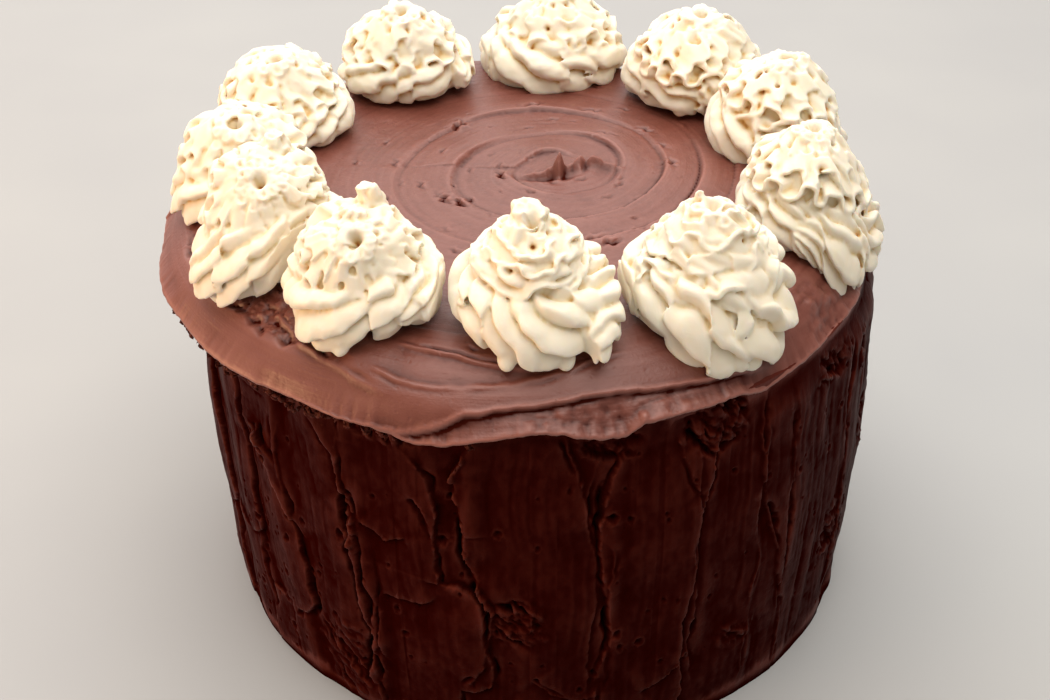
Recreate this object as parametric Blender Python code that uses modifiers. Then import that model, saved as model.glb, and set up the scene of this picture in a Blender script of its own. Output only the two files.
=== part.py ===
"""A tall round layer cake, frosted all over and ringed with piped cream rosettes.

Metres, +Z up. The origin is the centre of the cake's flat base, -Y is the front. One object is the frosted
cake: knife strokes stand up its wall, and a slab of frosting with a spiral and a torn centre lies over the
top and overhangs the wall at the left. Each rosette is one rope of cream from a star nozzle, wound inwards
and upwards and pulled off at its peak.
"""

import math

import bmesh
import bpy
import numpy as np

MM = 0.001

# The frosted wall, which bellies out a little and leans to the left
WALL_BOTTOM_RADIUS = 94.6 * MM
WALL_BELLY = 2.1 * MM  # how far the middle of the wall stands out
WALL_TOP_RADIUS = 94.8 * MM
WALL_HEIGHT = 105 * MM
WALL_LEAN = 1.5 * MM

# The slab of frosting over the top, which lies further to the left still
SLAB_CENTRE_X = -8.4 * MM
SLAB_RADIUS = 98.6 * MM
SLAB_TOP = 121 * MM
LIP_HEIGHT = 108 * MM  # of the slab's crisp lower edge
LIP_THICKNESS = 1.2 * MM
SHOULDER_RADIUS = 81 * MM  # where the flat top begins to fall towards the lip
SHOULDER_POWER = 1.8  # how late the fall steepens
LIP_WAVE = 0.9 * MM
LIP_RAGGED = 0.8 * MM

# The ragged fold of frosting that shows under the lip at the front, where the lip rises from left to right
FOLD_MIDDLE = math.radians(-82)
FOLD_REACH = math.radians(24)
FOLD_RISE = 8 * MM
FOLD_STEP = 2 * MM
FOLD_RAGGED = 1.6 * MM

# The spiral left by the palette knife
SWIRL_CENTRE = (7 * MM, 7 * MM)
SPIRAL_PITCH = 14 * MM
SPIRAL_DEPTH = 1.3 * MM
SPIRAL_REACH = 60 * MM
CREST_LENGTH = 30 * MM
CREST_HEIGHT = 5 * MM

# The knife strokes up the wall
STROKES = 64
STROKE_HALF_WIDTH = (6 * MM, 12 * MM)
STROKE_LENGTH = (50 * MM, 105 * MM)
STROKE_RELIEF = 1.3 * MM
STROKE_SLANT = 0.12  # most that a stroke leans to either side, as a share of its length
STROKE_TILT = 0.7  # most that one edge of a stroke stands prouder than the other, as a share of the relief
BURR_HEIGHT = 1.1 * MM
BURR_WIDTH = 1.3 * MM
WALL_SWELL = 0.8 * MM  # slow swells under the strokes

# How finely the cake is carved, and what it is thinned to
COLUMNS = 288
CAKE_TRIANGLES = 6200

# The rosettes, anticlockwise from the front: angle about the slab's centre from +X, distance from it, width,
# height, and angle at which the rope's tail shows
ROSETTES = [
    (-85.5, 72.5, 42, 32, 0),
    (-53.5, 79.5, 43, 30, 215),
    (-17, 81.5, 41, 28.5, 300),
    (18.5, 81, 43, 27, 80),
    (46.7, 78.3, 43, 28, 120),
    (81, 78.5, 47, 26, 200),
    (118.3, 72.7, 42, 26, 20),
    (153.8, 75.8, 41.5, 23, 330),
    (186.7, 73, 40.5, 25, 210),
    (216.6, 74.8, 41.5, 32.5, 250),
    (241.5, 74.5, 40, 31, 350),
]
ROSETTE_GAP = 0.5 * MM  # between a rosette and what it touches
SQUEEZE_START = 0.9  # share of a rosette's room at which its neighbour begins to press it
ROSETTE_VOXEL = 0.9 * MM
ROSETTE_TRIANGLES = 640
NOZZLE_TEETH = 7
NOZZLE_GROOVE = 0.30  # depth of a groove, as a share of the rope's radius
TWIST_PER_TURN = 1.5
PATH_STEPS_PER_TURN = 26
CORE_FOOT = 0.33  # radius of the filled middle at its foot, as a share of the rosette's width
CORE_PEAK = 0.06
CORE_HEIGHT = 0.8  # as a share of the rosette's height

# Stations along a rosette's rope: turns made, distance from its axis and rope radius as shares of its width,
# height as a share of its height
ROPE_STATIONS = [
    (-0.14, 0.490, 0.070, 0.20),
    (-0.06, 0.400, 0.140, 0.22),
    (0.08, 0.320, 0.200, 0.23),
    (0.95, 0.290, 0.215, 0.26),
    (1.25, 0.235, 0.205, 0.42),
    (1.85, 0.165, 0.185, 0.58),
    (2.20, 0.115, 0.160, 0.72),
    (2.55, 0.060, 0.120, 0.84),
    (2.80, 0.020, 0.075, 0.93),
]


def empty_scene():
    for obj in list(bpy.data.objects):
        bpy.data.objects.remove(obj)


def material(name, colour, roughness):
    made = bpy.data.materials.new(name)
    made.use_nodes = True
    shader = made.node_tree.nodes["Principled BSDF"]
    shader.inputs["Base Color"].default_value = (*colour, 1.0)
    shader.inputs["Roughness"].default_value = roughness
    shader.inputs["Metallic"].default_value = 0.0
    return made


def smoothstep(low, high, value):
    share = np.clip((value - low) / (high - low), 0.0, 1.0)
    return share * share * (3 - 2 * share)


def value_noise(u, v, seed):
    """Smooth noise from -1 to 1 with one lump to each unit of u and v."""
    table = np.random.default_rng(seed).uniform(-1, 1, (64, 64))
    column, row = np.floor(u).astype(int), np.floor(v).astype(int)
    fu, fv = u - column, v - row
    fu, fv = fu * fu * (3 - 2 * fu), fv * fv * (3 - 2 * fv)
    a, b = table[row % 64, column % 64], table[row % 64, (column + 1) % 64]
    c, d = table[(row + 1) % 64, column % 64], table[(row + 1) % 64, (column + 1) % 64]
    return (a * (1 - fu) + b * fu) * (1 - fv) + (c * (1 - fu) + d * fu) * fv


def wall_relief(angle, height):
    """How far the frosting stands out of the wall, after one knife stroke over another."""
    random = np.random.default_rng(11)
    relief = WALL_SWELL * value_noise(angle * 5, height / (40 * MM), 3)
    for _ in range(STROKES):
        centre = random.uniform(-math.pi, math.pi)
        half_width = random.uniform(*STROKE_HALF_WIDTH)
        length = random.uniform(*STROKE_LENGTH)
        middle = random.uniform(0.25, 0.75) * WALL_HEIGHT
        slant = random.uniform(-STROKE_SLANT, STROKE_SLANT)
        tilt = random.uniform(-STROKE_TILT, STROKE_TILT)
        depth = random.uniform(-1.0, 0.8) * STROKE_RELIEF
        seed = random.integers(1000)
        turn = (angle - centre + math.pi) % math.tau - math.pi
        across = turn * WALL_TOP_RADIUS - slant * (height - middle)
        along = np.clip(np.abs(height - middle) / (length / 2), 0, 1)
        edge = np.abs(across) - half_width * np.sqrt(1 - along**3)
        face = depth + tilt * STROKE_RELIEF * across / half_width
        inside = smoothstep(0.4 * MM, -0.4 * MM, edge)
        relief = relief * (1 - inside) + face * inside
        ragged = 0.55 + 0.45 * value_noise(height / (3 * MM), 0 * height, seed)
        raised_side = (np.sign(across) == np.sign(tilt)) & (along < 1)
        relief = relief + BURR_HEIGHT * ragged * np.exp(-((edge / BURR_WIDTH) ** 2)) * raised_side
    return relief


def fold_sector(angle):
    """1 along the front, where the fold shows, and 0 elsewhere."""
    return smoothstep(FOLD_REACH, 0.8 * FOLD_REACH, np.abs(angle - FOLD_MIDDLE))


def lip_shift(angle, radius):
    """How far the lip bulges out or draws back at an angle about the slab's centre."""
    bulge = angle - FOLD_MIDDLE + 0.3
    wave = LIP_WAVE * (0.6 * np.cos(bulge) + np.cos(2 * bulge))
    ragged = (LIP_RAGGED + FOLD_RAGGED * fold_sector(angle)) * value_noise(angle * 7, 0 * angle, 5)
    return (wave + ragged) * smoothstep(SHOULDER_RADIUS, SLAB_RADIUS, radius)


def fold_shift(angle, height):
    """The step in the shoulder between the lip and the fold under it."""
    lip = LIP_HEIGHT + FOLD_RISE * smoothstep(FOLD_MIDDLE - FOLD_REACH, FOLD_MIDDLE, angle)
    below = smoothstep(lip + 0.4 * MM, lip - 0.8 * MM, height)
    return -FOLD_STEP * fold_sector(angle) * below * smoothstep(LIP_HEIGHT, LIP_HEIGHT + 3 * MM, height)


def shoulder_height(radius):
    """Height of the slab's upper surface, before the spiral, at a distance from its centre."""
    share = np.clip((radius - SHOULDER_RADIUS) / (SLAB_RADIUS - SHOULDER_RADIUS), 0, 1)
    return SLAB_TOP - (SLAB_TOP - LIP_HEIGHT) * share**SHOULDER_POWER


def spiral_relief(x, y):
    """The ledges of the palette knife's spiral, and the crest torn up at its centre."""
    dx, dy = x - SWIRL_CENTRE[0], y - SWIRL_CENTRE[1]
    distance = np.hypot(dx, dy)
    angle = np.arctan2(dy, dx)
    stretched = distance * (1 + 0.22 * np.cos(angle))
    turns = (stretched + 1.5 * MM * value_noise(angle * 2, distance / (9 * MM), 21)) / SPIRAL_PITCH
    share = (turns - angle / math.tau) % 1.0
    ledge = smoothstep(0.0, 0.16, share) * (1 - smoothstep(0.16, 1.0, share))
    fade = smoothstep(SPIRAL_REACH, SPIRAL_REACH - 25 * MM, distance)
    crest_share = dx / (CREST_LENGTH / 2)
    crest_line = dy + 2 * MM * np.cos(crest_share * 2)
    crest = np.exp(-((crest_line / (1.6 * MM)) ** 2)) * np.clip(1 - crest_share**2, 0, 1)
    torn = 0.55 + 0.45 * value_noise(dx / (3.5 * MM), dy * 0, 8)
    return -SPIRAL_DEPTH * (1 - ledge) * fade + CREST_HEIGHT * crest * torn


def cake_profile():
    """Radius and height down the outside, from the middle of the top to the middle of the base."""
    points = [(radius, SLAB_TOP) for radius in np.linspace(0, SHOULDER_RADIUS, 60)]
    for radius in np.linspace(SHOULDER_RADIUS, SLAB_RADIUS, 15)[1:]:
        points.append((radius, float(shoulder_height(radius))))
    points.append((SLAB_RADIUS - LIP_THICKNESS, LIP_HEIGHT - LIP_THICKNESS))
    for share in np.linspace(1, 0, 72):
        straight = WALL_BOTTOM_RADIUS + (WALL_TOP_RADIUS - WALL_BOTTOM_RADIUS) * share
        points.append((straight + WALL_BELLY * math.sin(math.pi * share), WALL_HEIGHT * share))
    points.append((0.0, 0.0))
    return points


def turned(name, points, steps):
    """A closed mesh turned from a profile of radius and height."""
    mesh = bpy.data.meshes.new(name)
    mesh.from_pydata([(r, 0, z) for r, z in points], [(i, i + 1) for i in range(len(points) - 1)], [])
    profile = bpy.data.objects.new(name, mesh)
    bpy.context.scene.collection.objects.link(profile)
    screw = profile.modifiers.new("turn", "SCREW")
    screw.steps = screw.render_steps = steps
    screw.use_merge_vertices = True
    screw.merge_threshold = 0.00001
    made = bpy.data.meshes.new_from_object(profile.evaluated_get(bpy.context.evaluated_depsgraph_get()))
    bpy.data.objects.remove(profile)
    return made


def carve(mesh):
    """Moves the turned mesh's points as the palette knife did, and leans the cake to the left."""
    points = np.empty(len(mesh.vertices) * 3)
    mesh.vertices.foreach_get("co", points)
    x, y, z = points.reshape(-1, 3).T
    angle, radius = np.arctan2(y, x), np.hypot(x, y)
    on_wall = smoothstep(0, 2 * MM, z) * smoothstep(WALL_HEIGHT, WALL_HEIGHT - 6 * MM, z)
    on_slab = smoothstep(WALL_HEIGHT, LIP_HEIGHT - LIP_THICKNESS, z)
    grown = radius + on_wall * (radius > 0.9 * WALL_BOTTOM_RADIUS) * wall_relief(angle, z)
    grown = grown + on_slab * (lip_shift(angle, radius) + fold_shift(angle, z))
    centre_x = -WALL_LEAN * z / WALL_HEIGHT * (1 - on_slab) + SLAB_CENTRE_X * on_slab
    x, y = grown * np.cos(angle) + centre_x, grown * np.sin(angle)
    on_top = smoothstep(SLAB_TOP - 2 * MM, SLAB_TOP, z)
    z = z + on_top * spiral_relief(x, y)
    mesh.vertices.foreach_set("co", np.stack([x, y, z], -1).ravel())
    mesh.update()


def thin_to(obj, triangles):
    """Thins an object's evaluated mesh to about this many triangles, keeping its ridges."""
    bpy.context.view_layer.update()
    shape = obj.evaluated_get(bpy.context.evaluated_depsgraph_get()).to_mesh()
    present = sum(len(face.vertices) - 2 for face in shape.polygons)
    decimate = obj.modifiers.new("thin", "DECIMATE")
    decimate.ratio = triangles / present


def frosted_cake(collection, finish):
    mesh = turned("frosted_cake", cake_profile(), COLUMNS)
    carve(mesh)
    mesh.materials.clear()
    mesh.materials.append(finish)
    cake = bpy.data.objects.new("frosted_cake", mesh)
    collection.objects.link(cake)
    thin_to(cake, CAKE_TRIANGLES)


def star_nozzle():
    """The outline of the rope, one unit in radius, as a curve that bevels another."""
    curve = bpy.data.curves.new("star_nozzle", "CURVE")
    curve.dimensions = "2D"
    spline = curve.splines.new("POLY")
    spline.points.add(2 * NOZZLE_TEETH - 1)
    for i, point in enumerate(spline.points):
        angle = math.pi * i / NOZZLE_TEETH
        radius = 1.0 if i % 2 == 0 else 1.0 - NOZZLE_GROOVE
        point.co = (radius * math.cos(angle), radius * math.sin(angle), 0, 1)
    spline.use_cyclic_u = True
    return bpy.data.objects.new("star_nozzle", curve)


def rope(width, height, tail_angle, nozzle):
    """The rope of one rosette as a mesh: a star outline along a path that winds in and up to the peak."""
    turns, reach, radius, rise = np.array(ROPE_STATIONS).T
    steps = round((turns[-1] - turns[0]) * PATH_STEPS_PER_TURN)
    curve = bpy.data.curves.new("rope", "CURVE")
    curve.dimensions = "3D"
    curve.use_fill_caps = True
    curve.bevel_mode = "OBJECT"
    curve.bevel_object = nozzle
    spline = curve.splines.new("POLY")
    spline.points.add(steps)
    for point, turned_by in zip(spline.points, np.linspace(turns[0], turns[-1], steps + 1)):
        angle = math.radians(tail_angle) + math.tau * turned_by
        from_axis = width * np.interp(turned_by, turns, reach)
        z = height * np.interp(turned_by, turns, rise)
        point.co = (from_axis * math.cos(angle), from_axis * math.sin(angle), z, 1)
        point.radius = width * np.interp(turned_by, turns, radius)
        point.tilt = math.tau * TWIST_PER_TURN * turned_by
    obj = bpy.data.objects.new("rope", curve)
    bpy.context.scene.collection.objects.link(obj)
    bpy.context.view_layer.update()
    mesh = bpy.data.meshes.new_from_object(obj.evaluated_get(bpy.context.evaluated_depsgraph_get()))
    bpy.data.objects.remove(obj)
    return mesh


def rosette_centre(angle, distance):
    turn = math.radians(angle)
    return np.array([SLAB_CENTRE_X + distance * MM * math.cos(turn), distance * MM * math.sin(turn)])


def squeeze(distance, limit):
    """Presses what reaches past its limit back inside it, as one rosette gives way to the next."""
    start = SQUEEZE_START * limit
    room = limit - start
    return np.where(distance > start, start + room * (1 - np.exp((start - distance) / room)), distance)


def settle(points, number):
    """Sinks a rosette's foot onto the slab's shoulder and presses its sides against its neighbours."""
    angle, distance, width, height, _ = ROSETTES[number]
    centre = rosette_centre(angle, distance)
    x, y, z = points.T
    z = np.maximum(z, 0)
    for step in (-1, 1):
        other = ROSETTES[(number + step) % len(ROSETTES)]
        away = rosette_centre(other[0], other[1]) - centre
        apart = math.hypot(*away)
        towards = away / apart
        reach = x * towards[0] + y * towards[1]
        limit = apart * width / (width + other[2]) - ROSETTE_GAP
        push = squeeze(reach, limit) - reach
        x, y = x + push * towards[0], y + push * towards[1]
    from_slab_x, from_slab_y = x + centre[0] - SLAB_CENTRE_X, y + centre[1]
    radius = np.hypot(from_slab_x, from_slab_y)
    radius = radius - lip_shift(np.arctan2(from_slab_y, from_slab_x), radius)
    fall = shoulder_height(radius) - SLAB_TOP
    return np.stack([x, y, z + fall * (1 - z / (1.1 * height * MM)).clip(0)], -1)


def fused_rope(number, nozzle):
    """The rope of one rosette and the cream that fills its middle as one mesh, flat underneath."""
    width, height, tail_angle = ROSETTES[number][2:]
    width, height = width * MM, height * MM
    shape = bmesh.new()
    shape.from_mesh(rope(width, height, tail_angle, nozzle))
    bmesh.ops.remove_doubles(shape, verts=shape.verts, dist=0.01 * MM)
    core = bmesh.ops.create_cone(
        shape,
        cap_ends=True,
        segments=16,
        radius1=CORE_FOOT * width,
        radius2=CORE_PEAK * width,
        depth=CORE_HEIGHT * height,
    )
    bmesh.ops.translate(shape, verts=core["verts"], vec=(0, 0, CORE_HEIGHT * height / 2))
    bmesh.ops.recalc_face_normals(shape, faces=shape.faces)
    for vert in shape.verts:
        vert.co.z = max(vert.co.z, 0)
    mesh = bpy.data.meshes.new("loose_rope")
    shape.to_mesh(mesh)
    shape.free()
    loose = bpy.data.objects.new("loose_rope", mesh)
    bpy.context.scene.collection.objects.link(loose)
    fuse = loose.modifiers.new("fuse", "REMESH")
    fuse.mode = "VOXEL"
    fuse.voxel_size = ROSETTE_VOXEL
    bpy.context.view_layer.update()
    fused = bpy.data.meshes.new_from_object(loose.evaluated_get(bpy.context.evaluated_depsgraph_get()))
    bpy.data.objects.remove(loose)
    return fused


def rosette(number, collection, finish, nozzle):
    mesh = fused_rope(number, nozzle)
    mesh.name = f"rosette_{number + 1:02d}"
    points = np.empty(len(mesh.vertices) * 3)
    mesh.vertices.foreach_get("co", points)
    mesh.vertices.foreach_set("co", settle(points.reshape(-1, 3), number).ravel())
    mesh.materials.clear()
    mesh.materials.append(finish)
    obj = bpy.data.objects.new(mesh.name, mesh)
    angle, distance = ROSETTES[number][:2]
    obj.location = (*rosette_centre(angle, distance), SLAB_TOP + ROSETTE_GAP)
    collection.objects.link(obj)
    thin_to(obj, ROSETTE_TRIANGLES)


def main():
    empty_scene()
    parts = bpy.data.collections.new("rosette_cake")
    bpy.context.scene.collection.children.link(parts)
    frosted_cake(parts, material("chocolate_frosting", (0.055, 0.016, 0.012), 0.45))
    cream = material("buttercream", (0.87, 0.76, 0.50), 0.5)
    nozzle = star_nozzle()
    for number in range(len(ROSETTES)):
        rosette(number, parts, cream, nozzle)
    bpy.data.objects.remove(nozzle)


main()
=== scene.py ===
"""A tall chocolate-frosted layer cake ringed with piped buttercream rosettes.

Metres, +Z up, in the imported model's frame. The frosting is painted knife stroke by knife stroke over the
wall, and swept in a spiral over the slab on top. Each rosette is piped by one Geometry Nodes tree.
"""

import math

import bpy
import numpy as np
from mathutils import Matrix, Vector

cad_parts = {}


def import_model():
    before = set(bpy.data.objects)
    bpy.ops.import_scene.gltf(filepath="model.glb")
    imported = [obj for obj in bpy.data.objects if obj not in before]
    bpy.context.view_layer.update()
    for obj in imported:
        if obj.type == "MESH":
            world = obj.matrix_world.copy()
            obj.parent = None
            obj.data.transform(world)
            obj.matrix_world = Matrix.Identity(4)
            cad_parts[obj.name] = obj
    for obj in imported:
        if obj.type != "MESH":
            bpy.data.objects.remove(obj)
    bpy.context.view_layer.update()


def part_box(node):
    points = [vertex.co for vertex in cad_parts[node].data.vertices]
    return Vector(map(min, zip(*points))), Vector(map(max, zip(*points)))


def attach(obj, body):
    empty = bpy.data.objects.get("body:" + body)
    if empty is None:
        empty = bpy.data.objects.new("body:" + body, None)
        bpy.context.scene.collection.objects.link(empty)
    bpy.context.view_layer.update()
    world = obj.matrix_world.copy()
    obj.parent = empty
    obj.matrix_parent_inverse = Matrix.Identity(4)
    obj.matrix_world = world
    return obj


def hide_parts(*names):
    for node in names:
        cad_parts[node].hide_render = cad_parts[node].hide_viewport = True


MM = 0.001

# The cake under the frosting's detail, with the solids' own values
WALL_BOTTOM_RADIUS = 94.6 * MM
WALL_BELLY = 2.1 * MM
WALL_TOP_RADIUS = 94.8 * MM
WALL_HEIGHT = 105 * MM
WALL_LEAN = 1.5 * MM
SLAB_CENTRE_X = -8.4 * MM
SLAB_RADIUS = 98.6 * MM
SLAB_TOP = 121 * MM
LIP_HEIGHT = 108 * MM
SHOULDER_RADIUS = 81 * MM
SHOULDER_POWER = 1.8
LIP_WAVE = 0.9 * MM
LIP_RAGGED = 0.6 * MM
FOLD_MIDDLE = math.radians(-82)
SWIRL_CENTRE = (7 * MM, 7 * MM)

# How finely the frosting is carved, and what each piece is thinned to
WALL_COLUMNS = 1900
WALL_ROWS = 230
WALL_TOP = 108.5 * MM  # the wall goes on up inside the slab
TOP_RINGS = 165
FROSTING_TRIANGLES = 190_000

# Tongues of frosting that single knife strokes left on the wall, the oldest first: angle of the middle in
# degrees, foot and head heights, half width, how far proud, tilt (its sharp edge is on the right if it is
# positive), drift to the right going up, share of the half width that is rounded at the ends, burr and
# crevice at the sharp edge (all mm)
TONGUES = [
    (-91, -6, 106, 14.5, 0.1, 0.4, 1, 0.2, 0.1, 0.2),
    (-73.5, -6, 106, 11.5, 0.2, 0.5, 1, 0.2, 0.1, 0.2),
    (-16, -6, 103, 8.0, 0.1, 0.7, -2, 0.4, 0.2, 0.7),
    (-25, 10, 106, 7.5, 0.5, -0.9, 3, 0.4, 0.2, 0.7),
    (-35, -6, 104, 8.0, 0.1, 0.7, -3, 0.4, 0.2, 0.7),
    (-43, -6, 106, 7.5, 0.4, -0.8, 2, 0.3, 0.15, 0.7),
    (-51.5, -6, 105, 7.0, 0.2, 0.6, -5, 0.3, 0.2, 0.6),
    (-59.5, -6, 106, 9.0, 0.0, 0.5, 3, 0.2, 0.1, 0.4),
    (-110, -6, 60, 12.0, -0.4, 0.6, 2, 0.4, 0.3, 0.8),
    (-112, 47, 97, 11.0, 0.7, 1.2, -4, 0.9, 0.5, 1.2),
    (-102.5, 17, 56, 8.0, 0.6, 0.9, -3, 0.9, 0.4, 1.2),
    (-126, -6, 105, 12.0, 0.8, 2.2, -9, 0.4, 0.3, 1.8),
    (-139, 24, 80, 12.0, 0.5, 2.0, -12, 0.9, 0.2, 1.4),
    (-151, -6, 62, 12.0, 0.2, 1.8, -6, 0.6, 0.2, 1.0),
    (-151, 40, 104, 12.0, 0.6, 2.0, -10, 0.7, 0.3, 1.5),
    (-165, -6, 66, 12.0, 0.0, 1.8, -6, 0.6, 0.2, 0.8),
    (-165, 34, 106, 12.0, 0.5, 1.9, -9, 0.6, 0.3, 1.2),
    (-178, -6, 104, 11.0, 0.2, 1.4, -6, 0.5, 0.2, 0.8),
]
OLDER_STROKES = 52
STREAK_DEPTH = 0.09 * MM
STREAK_WIDTH = 1.1 * MM
RAGGED_EDGE = 0.5 * MM
SOFT_SIDE = 5 * MM  # a stroke runs out over this width on the side away from its sharp edge
RUN_OUT = 12 * MM  # and over this length at its ends, the less so the rounder it is
WALL_SET_BACK = 0.5 * MM  # the strokes stand this much less proud than their numbers say
BURR_WIDTH = 0.32 * MM
CREVICE_WIDTH = 0.46 * MM
HANG_OVER = 0.4  # how far a burr leans over its crevice, as a share of its height
STEP_WIDTH = 0.4 * MM  # a step in level between two strokes takes half this width
STEP_SPREAD = 6 * MM  # and fades away from it over this

# Ragged seams between strokes: burr and crevice depth in mm, which side the crevice is on (+1 right), the
# step in level across it, and its points as angle in degrees and height
SEAMS = [
    (0.4, 2.6, 1, 0.9, [(-141, 82), (-139, 75), (-136, 67), (-133, 59), (-130, 52)]),
    (0.5, 1.9, 1, 1.0, [(-127, 98), (-122, 88), (-120.5, 76), (-120, 63),
                        (-119, 46), (-117.5, 30), (-118, 20), (-119, 7)]),
    (0.6, 1.0, 1, -0.5, [(-86, 104), (-85, 96), (-84, 87), (-82, 78), (-81.4, 75)]),
    (0.7, 1.6, 1, 0.5, [(-78, 104), (-80, 86), (-81, 77), (-81, 67),
                        (-80, 54), (-79, 39), (-81, 28), (-82, 20)]),
    (0.8, 1.0, 1, 0.3, [(-70, 101), (-69, 94), (-67, 87), (-65, 79)]),
    (0.6, 1.1, -1, -0.5, [(-62, 104), (-63, 92), (-65, 77), (-66, 64), (-65, 47), (-66, 30), (-64, 12)]),
    (1.2, 1.7, 1, 0.6, [(-97, 106), (-101, 97), (-102.5, 91), (-102, 80),
                        (-101, 67), (-99, 54), (-96.5, 46)]),
    (0.9, 1.5, 1, -0.6, [(-99, 54), (-97, 47), (-98, 38), (-99, 28), (-102, 19)]),
    (0.5, 1.3, -1, 0.5, [(-54, 107), (-55, 91), (-53, 71), (-49, 48), (-47, 21)]),
    (0.8, 1.2, -1, 0.4, [(-92, 24), (-88, 18), (-84, 15), (-80, 17)]),
    (0.6, 1.0, 1, 0.4, [(-74, 15), (-70, 19), (-66, 27)]),
    (0.7, 1.2, 1, 0.3, [(-109, 83), (-107, 78), (-106, 70)]),
    (0.6, 0.9, 1, 0.4, [(-118, 70), (-114, 66), (-110, 69)]),
]

# Torn places in the wall: angle in degrees, height, half width, half height and depth in mm
TEARS = [
    (-63.5, 101, 7.5, 8.0, 2.6),
    (-93, 44, 6.0, 7.5, 2.4),
    (-139.5, 76, 3.0, 6.0, 2.4),
    (-120, 68, 2.4, 9.0, 2.4),
    (-113, 101, 11.0, 4.0, 1.6),
    (-128, 103, 12.0, 3.0, 1.6),
    (-146, 103, 14.0, 3.0, 1.5),
    (-123, 17, 9.0, 13.0, 1.1),
    (-80, 101, 7.0, 5.0, 1.4),
    (-57, 26, 5.0, 4.0, 1.4),
    (-36, 100, 8.0, 6.0, 1.8),
    (-24, 92, 4.0, 6.0, 1.6),
    (-29, 38, 8.0, 12.0, 1.1),
    (-15, 58, 4.0, 9.0, 1.4),
]
PITS = 300
LEFT_PITS = 60  # more of them, low on the left
PIT_RADIUS = (0.3 * MM, 1.1 * MM)

# The palette knife's spiral on top
SPIRAL_PITCH = 13.5 * MM
SPIRAL_DEPTH = 1.0 * MM
SPIRAL_REACH = 66 * MM  # the ledges have run out this far from the spiral's middle
SPIRAL_STREAK = 0.05 * MM
LEDGE_RISE = 0.13  # a ledge rises over this share of the pitch and falls away over the rest

# The crest torn up where the knife was lifted: distance to the right, to the back and height, in mm
CREST = [
    (-6, 2.5, 0.2), (-3, 2.2, 1.6), (0, 2.6, 2.0), (2.4, 3.4, 3.0), (4.2, 4.2, 6.8),
    (5.6, 4.6, 3.0), (8, 5.6, 2.0), (10, 6.6, 5.0), (11.6, 6.8, 2.4), (14, 7.0, 3.0),
    (17, 6.8, 2.2), (20, 6.4, 1.6), (22.5, 6.0, 0.2),
]

# Drawn-out pits on top: plan position, half length and depth in mm
DRAWN_PITS = [
    (-25, 34, 3.2, 1.5), (-27, -12, 3.6, 1.0), (-23, -14, 2.4, 1.4), (-12, 2, 2.2, 1.2),
    (17, -36, 2.6, 1.0), (13, -33, 3.0, 0.8), (25, -28, 2.4, 0.8), (-34, -4, 2.2, 0.6),
    (-42, 9, 2.4, 0.6), (30, 32, 2.6, 0.7), (-3, 47, 3.4, 0.6), (36, 9, 2.8, 0.9),
    (42, -20, 2.4, 0.7), (-50, -22, 2.6, 0.7), (15, 44, 3.0, 0.8),
]
SMALL_DRAWN_PITS = 90

# Lines where one pass of the knife over the slab's shoulder ends: burr, crevice, side and step as for the
# seams, and points as degrees about the slab's centre and distance from it in mm
SHOULDER_LINES = [
    (0.45, 0.6, 1, -0.5, [(-109, 84.5), (-101, 85.1), (-94, 86.7), (-88, 87.9), (-80, 88.0)]),
    (0.35, 0.3, -1, 0.4, [(-112, 90.0), (-106, 91.5), (-100, 91.7), (-92, 90.9),
                          (-85, 89.4), (-77, 86.7), (-69, 85.6)]),
    (0.35, 0.4, 1, -0.4, [(-64, 84.0), (-58, 88.0), (-52, 91.0), (-46, 93.5)]),
    (0.30, 0.4, 1, -0.3, [(-132, 86.0), (-124, 90.0), (-114, 92.5), (-106, 94.5)]),
]

# The line of the upper lip at the front: degrees about the slab's centre and height in mm. Below it lies
# the fold, whose lower edge is ragged
UPPER_LIP = [
    (-110, 107.4), (-106, 108.2), (-100, 110), (-96, 111.7), (-89, 112.7),
    (-80, 114.2), (-75, 114.2), (-68, 113.2), (-59, 112), (-52, 111),
]
FOLD_EDGE = [
    (-118, 0), (-110, -0.8), (-103, -3.4), (-99, -3.2), (-95, -1.2), (-89, 0.6), (-86, 1.2), (-83, 0.4),
    (-78, -2.6), (-74, -2.6), (-72, 0.4), (-67, 1.0), (-57, 0.2), (-51, -2.6), (-47, -1.4), (-40, 0),
]
# The section of the lip from its edge to the middle of the underside: in from the edge and down, in mm
LIP_SECTION = [
    (-0.05, 0.35), (0.15, 0.8), (0.6, 1.15), (1.4, 1.2), (2.4, 1.2), (3.6, 1.2), (5, 1.2), (7, 1.2),
    (9.5, 1.2), (12.5, 1.2), (16, 1.2),
]
SHOULDER_ARC = 90 * MM  # the radius at which angles about the slab's centre are turned to lengths

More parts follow.
